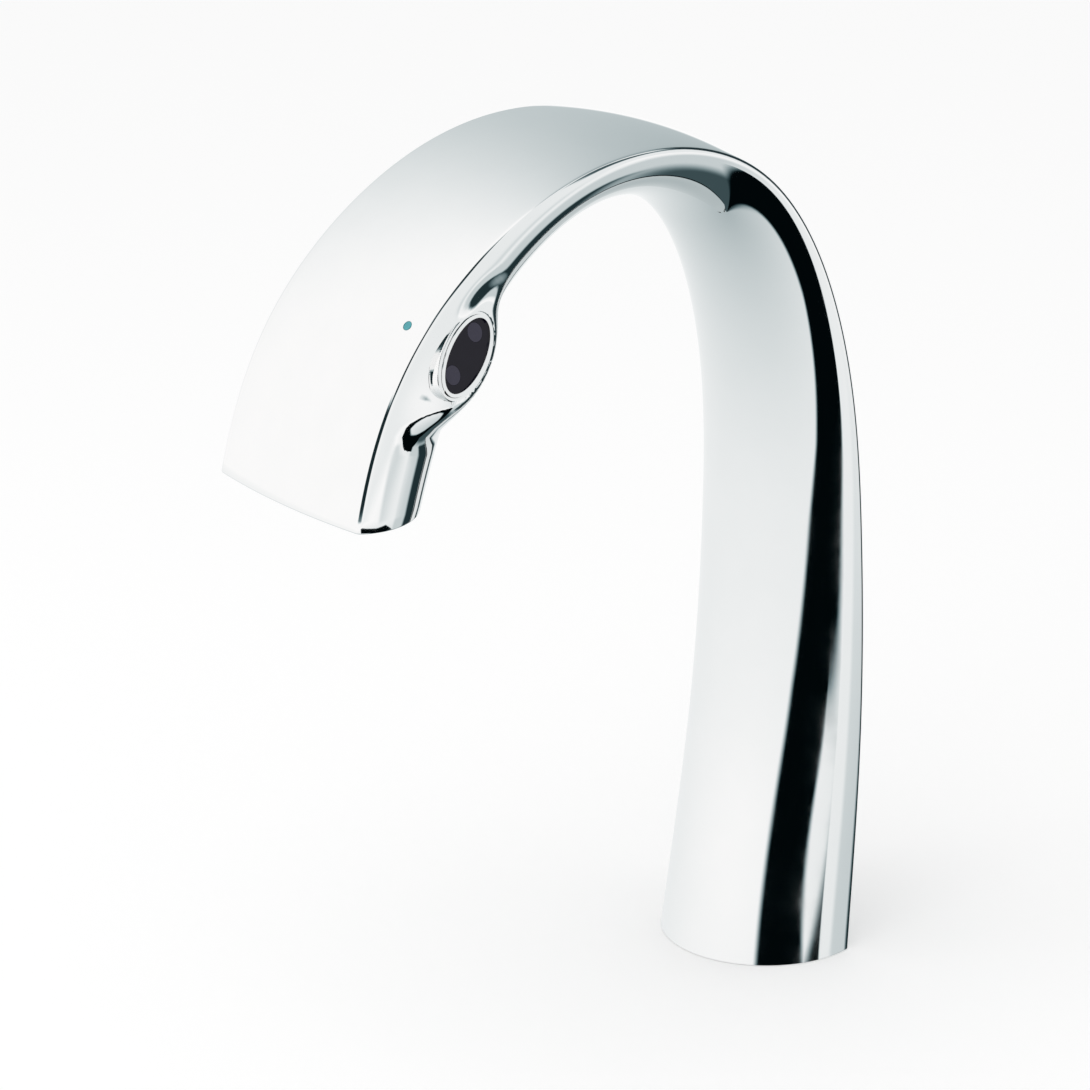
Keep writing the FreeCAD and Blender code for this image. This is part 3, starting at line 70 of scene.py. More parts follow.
# Stations along the neck, in mm: place of the outer line seen from the side,
# width between the sharp edges, depth, and the share of the depth where the
# section is widest.
neck_stations = (
    (-19.5, 0, 58.5, 39, 0.22),
    (-24, 66, 56, 34, 0.19),
    (-23, 131, 55, 28.5, 0.14),
    (-15.5, 188, 54.5, 24, 0.09),
    (16.5, 244, 55, 20, 0.05),
    (74, 256.5, 60.5, 18.5, 0.12),
    (130.5, 226.5, 63, 29, 0.22),
    (159, 170, 65, 32, 0.27),
)
foot_lean = math.radians(5)
lip_lean = math.radians(12)
foot_swing = 1.0215
lip_swing = 1.2308
foot_level = 0.0
lip_level = 170.0
outer_crown = 2.2
edge_round = 1.3
wall = 2.6

stations = [Vector(station) for station in neck_stations]
reached = [0.0]
for before, after in zip(stations, stations[1:]):
    reached.append(reached[-1] + (after - before).xy.length)
neck_length = reached[-1]


def end_slope(places, values):
    """Slope at the first place of the cubic through the first four values."""
    slope = values[0] * 0
    for one in range(4):
        others = [place for index, place in enumerate(places[:4]) if index != one]
        scale = math.prod(places[one] - other for other in others)
        if one == 0:
            share = sum(
                math.prod(places[0] - other for other in others if other != left)
                for left in others
            )
        else:
            share = math.prod(places[0] - other for other in others if other != places[0])
        slope += values[one] * (share / scale)
    return slope


def turned_to(slope, ahead, level, swing):
    """The slope with its direction and strength seen from the side replaced."""
    return Vector((ahead * swing, level * swing, *slope[2:]))


def neck_slopes():
    """Slopes of the smooth line through the stations."""
    first = turned_to(
        end_slope(reached, stations), -math.sin(foot_lean), math.cos(foot_lean), foot_swing
    )
    last = turned_to(
        end_slope(reached[::-1], stations[::-1]), math.sin(lip_lean), -math.cos(lip_lean), lip_swing
    )
    gaps = [after - before for before, after in zip(reached, reached[1:])]
    pivots = [1.0]
    loads = [first]
    for index in range(1, len(stations) - 1):
        back, ahead = gaps[index - 1], gaps[index]
        load = 3 * (
            (stations[index] - stations[index - 1]) * (ahead / back)
            + (stations[index + 1] - stations[index]) * (back / ahead)
        )
        above = 0.0 if index == 1 else gaps[index - 2]
        share = ahead / pivots[-1]
        pivots.append(2 * (back + ahead) - share * above)
        loads.append(load - loads[-1] * share)
    slopes = [last]
    for index in range(len(stations) - 2, 0, -1):
        slopes.append((loads[index] - slopes[-1] * gaps[index - 1]) / pivots[index])
    slopes.append(first)
    return slopes[::-1]


slopes = neck_slopes()


def neck_at(distance):
    """Measures of the neck and their slope at a distance from the foot."""
    inside = min(max(distance, 0), neck_length)
    index = max(step for step in range(len(reached) - 1) if reached[step] <= inside)
    gap = reached[index + 1] - reached[index]
    share = (inside - reached[index]) / gap
    start, end = stations[index], stations[index + 1]
    rise, fall = slopes[index] * gap, slopes[index + 1] * gap
    value = (
        start * (1 + 2 * share) * (1 - share) ** 2
        + rise * share * (1 - share) ** 2
        + end * share ** 2 * (3 - 2 * share)
        - fall * share ** 2 * (1 - share)
    )
    slope = (
        (end - start) * (6 * share * (1 - share))
        + rise * (1 - share) * (1 - 3 * share)
        - fall * share * (2 - 3 * share)
    ) / gap
    return value + slope * (distance - inside), slope


window_centre = Vector((125.4, 36, 214.1))
window_facing = math.radians(99.6)
window_lift = math.radians(19.8)
window_slant = math.radians(38)
window_long = 12.3
window_short = 5.7
bezel_width = 1.0
pod_rim = 1.2
pod_spread = 1.9
pod_collar = 0.5
pod_sunk = 0.05
pod_from, pod_full = 0.0, 0.13
pod_fades, pod_to = 0.35, 0.5

level_axis = Vector((-math.sin(window_facing), math.cos(window_facing), 0))
outward = Vector((
    math.cos(window_facing) * math.cos(window_lift),
    math.sin(window_facing) * math.cos(window_lift),
    math.sin(window_lift),
))
long_axis = level_axis * math.cos(window_slant) + outward.cross(level_axis) * math.sin(window_slant)
pod_turn = Matrix((long_axis, outward.cross(long_axis), outward)).transposed()
pod_frame = Matrix.Translation(window_centre * MM) @ pod_turn.to_4x4()


def eased(share):
    """Rises from 0 to 1 without a kink at either end."""
    share = min(max(share, 0), 1)
    return share * share * (3 - 2 * share)


def drawn_to_pod(point, share):
    """A point of the skin, pulled towards the pod face where it is near."""
    local = pod_turn.transposed() @ (point - window_centre)
    rim = bezel_width + pod_rim
    around = math.hypot(local.x / (window_long + rim), local.y / (window_short + rim))
    pull = 1 - eased((around - 1) / (pod_spread - 1))
    pull *= eased((share - pod_from) / (pod_full - pod_from))
    pull *= eased((pod_to - share) / (pod_to - pod_fades))
    local.z -= (local.z + pod_sunk) * pull
    return window_centre + pod_turn @ local


belly_spans = 84
face_spans = 28
corner_spans = 8
around_spans = belly_spans + face_spans + 2 * corner_spans


def skin_point(distance, column, inset):
    """One point of the skin, or of the inner wall where there is an inset."""
    measures, slope = neck_at(distance)
    line_x, line_z, width, depth, belly = measures
    ahead, up = slope.xy.normalized()
    widest = belly * depth
    drop = depth - widest
    spread = width / 2 / math.sqrt(1 - (widest / drop) ** 2) - inset
    drop -= inset
    corner = math.asin((inset - widest) / drop)
    pace = math.hypot(spread * math.sin(corner), drop * math.cos(corner))
    start = corner + edge_round / pace
    half = spread * math.cos(corner)
    flat = half - edge_round

    def place(across, deep):
        return Vector((line_x + up * deep, across, line_z - ahead * deep))

    def on_belly(step):
        angle = start + (math.pi - 2 * start) * step / belly_spans
        point = place(spread * math.cos(angle), widest + drop * math.sin(angle))
        return point if inset else drawn_to_pod(point, step / belly_spans)

    def on_face(step):
        across = flat * (2 * step / face_spans - 1)
        return place(across, inset - outer_crown * (1 - (across / half) ** 2))

    def on_corner(share, first, across, second):
        tip = place(across, inset)
        return first * (1 - share) ** 2 + tip * (2 * share * (1 - share)) + second * share ** 2

    if column <= belly_spans:
        return on_belly(column)
    column -= belly_spans
    if column < corner_spans:
        return on_corner(column / corner_spans, on_belly(belly_spans), -half, on_face(0))
    column -= corner_spans
    if column <= face_spans:
        return on_face(column)
    column -= face_spans
    return on_corner(column / corner_spans, on_face(face_spans), half, on_belly(0))


def distance_at_level(column, inset, level, guess):
    """Where a line of the skin along the neck crosses a level."""
    step = 0.5
    for _ in range(4):
        height = skin_point(guess, column, inset).z
        climb = (skin_point(guess + step, column, inset).z - height) / step
        guess += (level - height) / climb
    return guess


# Rows lie closer together beside the pod, where the skin bends most. A
# torus is the right weave for a skin that turns in at both ends of the neck.
pod_row, pod_rows = 0.86, 0.06
row_gap, pod_gap = 0.0062, 0.0025
torus_rows = 256
outer_rows = [0.0]
while outer_rows[-1] < 1:
    beside = eased(1.5 - abs(outer_rows[-1] - pod_row) / pod_rows)
    outer_rows.append(outer_rows[-1] + row_gap - (row_gap - pod_gap) * beside)
outer_rows = [row / outer_rows[-1] for row in outer_rows]
lip_round = 0.4
lip_steps = 4
turns = [math.pi / 2 * step / lip_steps for step in range(1, lip_steps + 1)]
lip_rows = [
    (1.0, lip_round * (1 - math.cos(turn)), lip_round * (1 - math.sin(turn))) for turn in turns
]
inner_count = torus_rows - 1 - len(outer_rows) - lip_steps
inner_rows = [1 - step / inner_count for step in range(inner_count + 1)]
rows = [(row, 0.0, lip_round) for row in outer_rows] + lip_rows
rows += [(row, wall, 0.0) for row in inner_rows]
limits = {
    (inset, rise): [
        (distance_at_level(column, inset, foot_level, 0),
         distance_at_level(column, inset, lip_level + rise, neck_length))
        for column in range(around_spans)
    ]
    for inset, rise in {row[1:] for row in rows}
}

bpy.ops.object.select_all(action="DESELECT")
bpy.ops.mesh.primitive_torus_add(major_segments=len(rows), minor_segments=around_spans)
body = bpy.context.object
body.name = "cast_body"
for index, vertex in enumerate(body.data.vertices):
    row, inset, rise = rows[index // around_spans]
    column = index % around_spans
    first, last = limits[inset, rise][column]
    vertex.co = skin_point(first + (last - first) * row, column, inset) * MM
bpy.ops.object.mode_set(mode="EDIT")
bpy.ops.mesh.select_all(action="SELECT")
bpy.ops.mesh.normals_make_consistent(inside=False)
bpy.ops.object.mode_set(mode="OBJECT")


def oval_tool(name, long, short, low, high):
    """An upright oval prism in the frame of the pod, sizes in mm."""
    bpy.ops.object.select_all(action="DESELECT")
    bpy.ops.mesh.primitive_cylinder_add(vertices=128, radius=1, depth=1)
    tool = bpy.context.object
    tool.name = name
    size = Matrix.Diagonal((long * MM, short * MM, (high - low) * MM, 1))
    tool.data.transform(Matrix.Translation((0, 0, (low + high) / 2 * MM)) @ size)
    return tool


def combine(piece, tool, operation):
    """Join a tool to a piece or cut it out, and drop the tool."""
    change = piece.modifiers.new(operation.lower(), "BOOLEAN")
    change.operation = operation
    change.solver = "MANIFOLD"
    change.object = tool
    bpy.ops.object.select_all(action="DESELECT")
    bpy.context.view_layer.objects.active = piece
    piece.select_set(True)
    bpy.ops.object.modifier_apply(modifier=change.name)
    bpy.data.objects.remove(tool)


def rounded_off(piece, width, segments, chosen):
    """Bevel the edges that are chosen by their two ends, width in mm."""
    bpy.ops.object.select_all(action="DESELECT")
    bpy.context.view_layer.objects.active = piece
    piece.select_set(True)
    for edge in piece.data.edges:
        edge.select = chosen(*[piece.data.vertices[index].co for index in edge.vertices])
    bpy.ops.object.mode_set(mode="EDIT")
    bpy.ops.mesh.select_mode(type="EDGE")
    bpy.ops.mesh.bevel(offset=width * MM, segments=segments)
    bpy.ops.object.mode_set(mode="OBJECT")


def settle(piece, frame_of_piece, angle=32):
    """Put a finished mesh in its place, with the object left at the origin."""
    piece.data.transform(frame_of_piece)
    bpy.ops.object.select_all(action="DESELECT")
    bpy.context.view_layer.objects.active = piece
    piece.select_set(True)
    bpy.ops.object.shade_smooth_by_angle(angle=math.radians(angle))


seat_depth = 4.1
run_gap = 0.08
rim = bezel_width + pod_rim
collar = oval_tool("collar", window_long + rim, window_short + rim, -seat_depth, 0)
rounded_off(collar, pod_collar, 5, lambda one, other: min(one.z, other.z) > -0.01 * MM)
collar.data.transform(pod_frame)
combine(body, collar, "UNION")
seat = oval_tool(
    "seat", window_long + bezel_width + run_gap, window_short + bezel_width + run_gap,
    -seat_depth, seat_depth,
)
seat.data.transform(pod_frame)
combine(body, seat, "DIFFERENCE")
bore_edge = 0.5
bore_depth = 26
bore = oval_tool("bore", window_long - bore_edge, window_short - bore_edge, -bore_depth, 0)
bore.data.transform(pod_frame)
combine(body, bore, "DIFFERENCE")

# The light pipe stands in a round hole near the edge of the outer face.
light_distance = 383.8
light_across = 24.3
light_radius = 1.3
light_measures, light_slope = neck_at(light_distance)
light_ahead, light_up = light_slope.xy.normalized()
light_inward = Vector((light_up, 0, -light_ahead))
light_rise = outer_crown * (1 - (2 * light_across / light_measures[2]) ** 2)
light_centre = Vector((light_measures[0], light_across, light_measures[1]))
light_centre -= light_inward * light_rise
light_turn = Matrix((
    Vector((0, 1, 0)).cross(-light_inward), (0, 1, 0), -light_inward
)).transposed()
light_frame = Matrix.Translation(light_centre * MM) @ light_turn.to_4x4()
hole = oval_tool("hole", light_radius + run_gap, light_radius + run_gap, -2 * wall, 2 * wall)
hole.data.transform(light_frame)
combine(body, hole, "DIFFERENCE")
settle(body, Matrix.Identity(4))


def material(name):
    """A new material with its nodes, its shader and its object coordinates."""
    made = bpy.data.materials.new(name)
    made.use_nodes = True
    tree = made.node_tree
    shader = tree.nodes["Principled BSDF"]
    place = tree.nodes.new("ShaderNodeTexCoord")
    return made, tree, shader, place.outputs["Object"]


def cloudy(tree, place, per_metre, detail=4.0):
    """Noise that varies this many times a metre."""
    noise = tree.nodes.new("ShaderNodeTexNoise")
    noise.inputs["Scale"].default_value = per_metre
    noise.inputs["Detail"].default_value = detail
    tree.links.new(place, noise.inputs["Vector"])
    return noise.outputs["Fac"]


def between(tree, factor, low, high, start=0.3, end=0.7):
    """Spread a factor from one value to another."""
    spread = tree.nodes.new("ShaderNodeMapRange")
    spread.inputs["From Min"].default_value = start
    spread.inputs["From Max"].default_value = end
    spread.inputs["To Min"].default_value = low
    spread.inputs["To Max"].default_value = high
    tree.links.new(factor, spread.inputs["Value"])
    return spread.outputs["Result"]


def tinted(tree, factor, one, other):
    """Blend two colours by a factor."""
    blend = tree.nodes.new("ShaderNodeMix")
    blend.data_type = "RGBA"
    blend.inputs["A"].default_value = (*one, 1)
    blend.inputs["B"].default_value = (*other, 1)
    tree.links.new(factor, blend.inputs["Factor"])
    return blend.outputs["Result"]


def raised(tree, height, shader, strength, depth):
    """Relief of the surface, its depth in metres."""
    bump = tree.nodes.new("ShaderNodeBump")
    bump.inputs["Strength"].default_value = strength
    bump.inputs["Distance"].default_value = depth
    tree.links.new(height, bump.inputs["Height"])
    tree.links.new(bump.outputs["Normal"], shader.inputs["Normal"])


def dress(finish, *names):
    """Give CAD nodes a material."""
    for name in names:
        mesh = nodes[name].data
        mesh.materials.clear()
        mesh.materials.append(finish)


def stands_for(piece, name, finish, group):
    """Let a finished piece take the place of a CAD node and its body."""
    piece.data.materials.clear()
    piece.data.materials.append(finish)
    for face in piece.data.polygons:
        face.material_index = 0
    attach(piece, group)
    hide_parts(name)


def mixed(name, one, other, rough, per_metre, relief, **constants):
    """A finish between two colours, with its grain and its relief in mm."""
    made, tree, shader, place = material(name)
    for socket, value in constants.items():
        shader.inputs[socket.replace("_", " ")].default_value = value
    grain = cloudy(tree, place, per_metre, 6)
    tree.links.new(tinted(tree, grain, one, other), shader.inputs["Base Color"])
    tree.links.new(between(tree, grain, *rough), shader.inputs["Roughness"])
    raised(tree, cloudy(tree, place, per_metre * 5), shader, 0.4, relief * MM)
    return made


chrome = mixed(
    "polished chrome", (0.87, 0.88, 0.88), (0.90, 0.905, 0.905), (0.015, 0.05), 90, 0.0004,
    Metallic=1.0,
)
stands_for(body, "spout_body", chrome, "tap")

# ---------------------------------------------------------------- sensor
# A chrome ring holds a plate of smoked acrylic with two dark lenses in it. A
# rubber seal and a black moulded case with the circuit board lie behind it.

smoked = mixed(
    "smoked acrylic", (0.004, 0.003, 0.009), (0.007, 0.006, 0.014), (0.05, 0.09), 400, 0.0005,
    IOR=1.3,
)
tinted_lens = mixed(
    "tinted lens", (0.036, 0.034, 0.055), (0.048, 0.045, 0.070), (0.10, 0.18), 900, 0.001,
    IOR=1.3,
)
black_rubber = mixed(
    "black rubber", (0.018, 0.018, 0.018), (0.034, 0.033, 0.032), (0.55, 0.8), 700, 0.02
)
black_moulding = mixed(
    "black moulding", (0.020, 0.020, 0.022), (0.032, 0.032, 0.036), (0.35, 0.5), 900, 0.01
)
solder_mask = mixed(
    "solder mask", (0.010, 0.085, 0.030), (0.018, 0.14, 0.055), (0.25, 0.4), 1500, 0.01
)
emitter_epoxy = mixed(
    "violet epoxy", (0.16, 0.12, 0.26), (0.21, 0.16, 0.32), (0.05, 0.12), 600, 0.001,
    Coat_Weight=0.5,
)
receiver_epoxy = mixed(
    "black epoxy", (0.012, 0.012, 0.018), (0.024, 0.022, 0.032), (0.1, 0.2), 600, 0.002,
    Coat_Weight=0.5,
)
jacket = mixed(
    "cable jacket", (0.028, 0.028, 0.030), (0.045, 0.045, 0.050), (0.4, 0.6), 500, 0.01
)
dress(chrome, "window_bezel")
dress(smoked, "sensor_window")
dress(tinted_lens, "emitter_lens", "receiver_lens")
dress(black_rubber, "window_gasket", "cable_gland")
dress(black_moulding, "sensor_housing", "light_baffle", "cable_socket")
dress(solder_mask, "sensor_board")
dress(emitter_epoxy, "emitter_led")
dress(receiver_epoxy, "receiver_diode")
dress(jacket, "sensor_cable")

# ---------------------------------------------------------------- indicator
# A clear teal light pipe is pushed into the outer face from inside. A small
# white lamp sits under its end.

teal = mixed(
    "teal light pipe", (0.010, 0.22, 0.26), (0.030, 0.34, 0.38), (0.08, 0.2), 1200, 0.002,
    Coat_Weight=0.6, Emission_Color=(0.02, 0.45, 0.5, 1), Emission_Strength=0.12,
)
lamp_white = mixed(
    "lamp moulding", (0.72, 0.72, 0.67), (0.80, 0.80, 0.75), (0.3, 0.5), 900, 0.005
)
dress(teal, "indicator_lens")
dress(lamp_white, "indicator_led")

# ---------------------------------------------------------------- water way
# Water comes up through a brass tail with a G1/4 thread, a strainer and a
# check valve, and runs in one plastic tube, held by four spacers, to the
# outlet. Ring seals sit around both ends of the tube.


def thread_ridge(height, angle, pitch):
    """How far a thread stands out there: 1 on its crest, 0 in its root."""
    turn = (height / pitch - angle / math.tau) % 1
    return min(max(1.5 - abs(turn - 0.5) * 4, 0), 1)


def threaded_rod(name, radius, depth, pitch, low, high, lead, x, y):
    """A closed rod with a thread and chamfered ends, upright, sizes in mm."""
    around, levels = 40, 8
    step_up = pitch / levels
    first, last = math.floor(low / step_up) + 1, math.ceil(high / step_up)
    heights = [low, *[index * step_up for index in range(first, last)], high]
    bpy.ops.object.select_all(action="DESELECT")
    bpy.ops.mesh.primitive_grid_add(x_subdivisions=around, y_subdivisions=len(heights) - 1, size=1)
    rod = bpy.context.object
    rod.name = name
    for index, vertex in enumerate(rod.data.vertices):
        level, step = divmod(index, around + 1)
        height = heights[level]
        angle = math.tau * step / around
        outside = radius - depth * (1 - thread_ridge(height, angle, pitch))
        outside = min(outside, radius - lead + min(height - low, high - height))
        vertex.co = Vector((
            x + outside * math.cos(angle), y + outside * math.sin(angle), height
        )) * MM
    bpy.ops.object.mode_set(mode="EDIT")
    bpy.ops.mesh.select_all(action="SELECT")
    bpy.ops.mesh.remove_doubles(threshold=0.0001 * MM)
    bpy.ops.mesh.select_all(action="DESELECT")
    bpy.ops.mesh.select_mode(type="EDGE")
    bpy.ops.mesh.select_non_manifold()
    bpy.ops.mesh.fill_holes(sides=0)
    bpy.ops.mesh.select_all(action="SELECT")
    bpy.ops.mesh.normals_make_consistent(inside=False)
    bpy.ops.object.mode_set(mode="OBJECT")
    return rod


def plain_rod(name, radius, low, high, x, y, sides=64):
    """An upright cylinder, sizes in mm."""
    bpy.ops.object.select_all(action="DESELECT")
    bpy.ops.mesh.primitive_cylinder_add(
        vertices=sides, radius=radius * MM, depth=(high - low) * MM,
        location=(x * MM, y * MM, (low + high) / 2 * MM),
    )
    rod = bpy.context.object
    rod.name = name
    bpy.ops.object.transform_apply(location=True, rotation=False, scale=False)
    return rod


def merged_copy(node, name):
    """A copy of a CAD node whose loose triangles are merged."""
    bpy.ops.object.select_all(action="DESELECT")
    piece = nodes[node].copy()
    piece.data = nodes[node].data.copy()
    piece.name = name
    piece.parent = None
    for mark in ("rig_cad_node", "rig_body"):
        del piece[mark]
    bpy.context.scene.collection.objects.link(piece)
    bpy.context.view_layer.objects.active = piece
    piece.select_set(True)
    bpy.ops.object.mode_set(mode="EDIT")
    bpy.ops.mesh.select_all(action="SELECT")
    bpy.ops.mesh.remove_doubles(threshold=0.001 * MM)
    bpy.ops.mesh.customdata_custom_splitnormals_clear()
    bpy.ops.object.mode_set(mode="OBJECT")
    return piece


inch = 25.4
inlet_x = 4.5
tail_radius = 6.58
tail_low = -48
tail_thread = 14
tail_pitch = inch / 19
tail_depth = 0.64 * tail_pitch
tail_lead = 0.9
valve_bore = 4.9
fitting = merged_copy("inlet_fitting", "threaded_inlet_fitting")
for vertex in fitting.data.vertices:
    across = vertex.co.xy - Vector((inlet_x * MM, 0))
    in_thread = vertex.co.z < (tail_low + tail_thread + 0.1) * MM
    if in_thread and across.length > (tail_radius - 0.1) * MM:
        narrow = across * ((tail_radius - tail_depth) / tail_radius)
        vertex.co.xy = Vector((inlet_x * MM, 0)) + narrow
thread = threaded_rod(
    "tail_thread", tail_radius, tail_depth, tail_pitch,
    tail_low, tail_low + tail_thread, tail_lead, inlet_x, 0,
)
combine(fitting, thread, "UNION")
bore = plain_rod("tail_bore", valve_bore, tail_low - 1, tail_low + tail_thread + 1, inlet_x, 0, 96)
combine(fitting, bore, "DIFFERENCE")
settle(fitting, Matrix.Identity(4))


def machined(name, one, other, rough, x, y):
    """Turned metal, with the fine rings of the lathe around its axis."""
    made, tree, shader, place = material(name)
    shader.inputs["Metallic"].default_value = 1.0
    centre = tree.nodes.new("ShaderNodeMapping")
    centre.inputs["Location"].default_value = (-x * MM, -y * MM, 0)
    tree.links.new(place, centre.inputs["Vector"])
    rings = tree.nodes.new("ShaderNodeTexWave")
    rings.wave_type = "RINGS"
    rings.rings_direction = "Z"
    rings.inputs["Scale"].default_value = 900
    rings.inputs["Distortion"].default_value = 1.5
    tree.links.new(centre.outputs[0], rings.inputs["Vector"])
    stain = cloudy(tree, place, 120, 5)
    tree.links.new(tinted(tree, stain, one, other), shader.inputs["Base Color"])
    tree.links.new(between(tree, stain, *rough), shader.inputs["Roughness"])
    raised(tree, rings.outputs["Fac"], shader, 0.15, 0.01 * MM)
    return made


nozzle_x = 142
brass_one = (0.66, 0.47, 0.20)
brass_other = (0.74, 0.56, 0.27)
inlet_brass = machined("turned brass inlet", brass_one, brass_other, (0.18, 0.32), inlet_x, 0)
outlet_brass = machined("machined brass outlet", brass_one, brass_other, (0.2, 0.35), nozzle_x, 0)
tube_plastic = mixed(
    "tube plastic", (0.66, 0.69, 0.69), (0.72, 0.75, 0.75), (0.3, 0.42), 300, 0.004
)
acetal = mixed("white acetal", (0.68, 0.68, 0.65), (0.75, 0.75, 0.72), (0.35, 0.5), 500, 0.006)
spring_wire = mixed(
    "spring wire", (0.42, 0.42, 0.42), (0.52, 0.52, 0.52), (0.2, 0.35), 1500, 0.002, Metallic=1.0
)
stainless = mixed(
    "stainless steel", (0.48, 0.48, 0.47), (0.58, 0.58, 0.57), (0.2, 0.34), 700, 0.003, Metallic=1.0
)
stands_for(fitting, "inlet_fitting", inlet_brass, "tap")
dress(tube_plastic, "waterway_tube")
dress(acetal, "neck_spacers", "check_cage", "check_poppet")
dress(black_rubber, "tube_seals")
dress(spring_wire, "check_spring")
dress(stainless, "inlet_strainer")

# ---------------------------------------------------------------- outlet
# A brass block closes the spout and is held by two socket screws from below.
# The chrome ring that screws into it carries the white aerator insert, its
# two steel screens and a washer.

dress(outlet_brass, "nozzle_block")
dress(stainless, "nozzle_screws", "aerator_screens")
dress(chrome, "aerator_ring")
dress(acetal, "aerator_cage")
dress(black_rubber, "aerator_washer")

# ---------------------------------------------------------------- base
# A machined brass plate closes the foot of the body, with two socket screws,
# and a black rubber seal lies between it and the deck.

stud_x = -10.2
base_brass = machined("machined brass base", brass_one, brass_other, (0.2, 0.35), 0, 0)
dress(base_brass, "base_plate")
dress(black_rubber, "base_gasket")
dress(stainless, "plate_screws")

# ---------------------------------------------------------------- clamp
# An M8 stud of zinc plated steel hangs from the base plate. A horseshoe plate
# with a rubber pad is pulled up against the deck by a brass nut below it.

zinc = mixed(
    "zinc plated steel", (0.56, 0.57, 0.57), (0.68, 0.68, 0.64), (0.22, 0.42), 260, 0.004,
    Metallic=1.0,
)
stud_radius = 4
stud_pitch = 1.25
stud_depth = 0.61 * stud_pitch
stud_lead = 0.9
stud_low = -62
plate_top = 8.5
stud = threaded_rod(
    "threaded_stud", stud_radius, stud_depth, stud_pitch, stud_low, plate_top, stud_lead,
    stud_x, 0,
)
settle(stud, Matrix.Identity(4), 25)
stands_for(stud, "mount_stud", zinc, "tap")

nut_low, nut_high = [corner.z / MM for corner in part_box("clamp_nut")]
nut_flats = 13
nut_corner = nut_flats / math.sqrt(3)
nut_chamfer = 0.75
nut = plain_rod("threaded_nut", nut_corner, nut_low, nut_high, 0, 0, 6)
nut.data.transform(Matrix.Rotation(math.radians(90), 4, "Z"))
nut.data.transform(Matrix.Translation((stud_x * MM, 0, 0)))
round_off = plain_rod(
    "nut_round_off", nut_corner * 0.995, nut_low, nut_high, stud_x, 0, 96
)
rounded_off(round_off, nut_chamfer, 1, lambda one, other: abs(one.z - other.z) < 0.01 * MM)
combine(nut, round_off, "INTERSECT")
tap_hole = threaded_rod(
    "nut_thread", stud_radius + run_gap, stud_depth, stud_pitch, nut_low - 2, nut_high + 2, 0,
    stud_x, 0,
)
combine(nut, tap_hole, "DIFFERENCE")
settle(nut, Matrix.Identity(4), 25)
nut_brass = machined("turned brass nut", brass_one, brass_other, (0.2, 0.35), stud_x, 0)
stands_for(nut, "clamp_nut", nut_brass, "nut")
dress(zinc, "clamp_plate")
dress(black_rubber, "clamp_pad")

# ---------------------------------------------------------------- studio
# The tap stands on a plain white deck, which is clear from below. Its chrome
# shows the room: white walls, a greyer side, dark strips and a black flag.

floor_size = 12
floor_drop = 0.2 * MM
floor_glow = 0.2
bpy.ops.object.select_all(action="DESELECT")
bpy.ops.mesh.primitive_plane_add(size=floor_size, location=(0, 0, -floor_drop))
deck = bpy.context.object
deck.name = "deck"
deck.visible_glossy = False
paint, tree, shader, place = material("white deck")
shader.inputs["Base Color"].default_value = (0.9, 0.9, 0.9, 1)
shader.inputs["Roughness"].default_value = 0.8
shader.inputs["Specular IOR Level"].default_value = 0.0
shader.inputs["Emission Color"].default_value = (1, 1, 1, 1)
rays = tree.nodes.new("ShaderNodeLightPath")
lift = tree.nodes.new("ShaderNodeMath")
lift.operation = "MULTIPLY"
lift.inputs[1].default_value = floor_glow
tree.links.new(rays.outputs["Is Camera Ray"], lift.inputs[0])
tree.links.new(lift.outputs[0], shader.inputs["Emission Strength"])
clear = tree.nodes.new("ShaderNodeBsdfTransparent")
facing = tree.nodes.new("ShaderNodeNewGeometry")
both = tree.nodes.new("ShaderNodeMixShader")
tree.links.new(facing.outputs["Backfacing"], both.inputs["Fac"])
tree.links.new(shader.outputs[0], both.inputs[1])
tree.links.new(clear.outputs[0], both.inputs[2])
tree.links.new(both.outputs[0], tree.nodes["Material Output"].inputs["Surface"])
deck.data.materials.append(paint)

world = bpy.data.worlds.new("studio")
bpy.context.scene.world = world
world.use_nodes = True
tree = world.node_tree
sky = tree.nodes["Background"]


def sums(operation, *values):
    """One step of arithmetic on numbers or sockets."""
    step = tree.nodes.new("ShaderNodeMath")
    step.operation = operation
    for index, value in enumerate(values):
        if isinstance(value, (int, float)):
            step.inputs[index].default_value = value
        else:
            tree.links.new(value, step.inputs[index])
    return step.outputs[0]


def edge(value, start, end):
    """Nothing before the start, all after the end, smooth between."""
    step = tree.nodes.new("ShaderNodeMapRange")
    step.interpolation_type = "SMOOTHSTEP"
    step.inputs["From Min"].default_value = start
    step.inputs["From Max"].default_value = end
    tree.links.new(value, step.inputs["Value"])
    return step.outputs["Result"]


def blended(share, one, other):
    """Turn from one level to another."""
    step = tree.nodes.new("ShaderNodeMix")
    step.data_type = "FLOAT"
    for socket, value in (("Factor", share), ("A", one), ("B", other)):
        if isinstance(value, (int, float)):
            step.inputs[socket].default_value = value
        else:
            tree.links.new(value, step.inputs[socket])
    return step.outputs["Result"]


def within(value, limits, soft):
    """All between two limits, nothing outside them, with soft edges."""
    start, end = limits
    inside = edge(value, start - soft, start + soft)
    return sums("MULTIPLY", inside, sums("SUBTRACT", 1, edge(value, end - soft, end + soft)))


def outline(value, *corners):
    """A bent line through corners, each a place and its height in degrees."""
    line = tree.nodes.new("ShaderNodeFloatCurve")
    shape = line.mapping.curves[0]
    while len(shape.points) < len(corners):
        shape.points.new(0.5, 0.5)
    places, heights = zip(*corners)
    start, run = places[0], places[-1] - places[0]
    floor, rise = min(heights), max(heights) - min(heights)
    for point, (place, height) in zip(shape.points, corners):
        point.location = ((place - start) / run, (height - floor) / rise)
        point.handle_type = "VECTOR"
    line.mapping.update()
    share = sums("DIVIDE", sums("SUBTRACT", value, start), run)
    tree.links.new(share, line.inputs["Value"])
    return sums("ADD", sums("MULTIPLY", line.outputs["Value"], rise), floor)


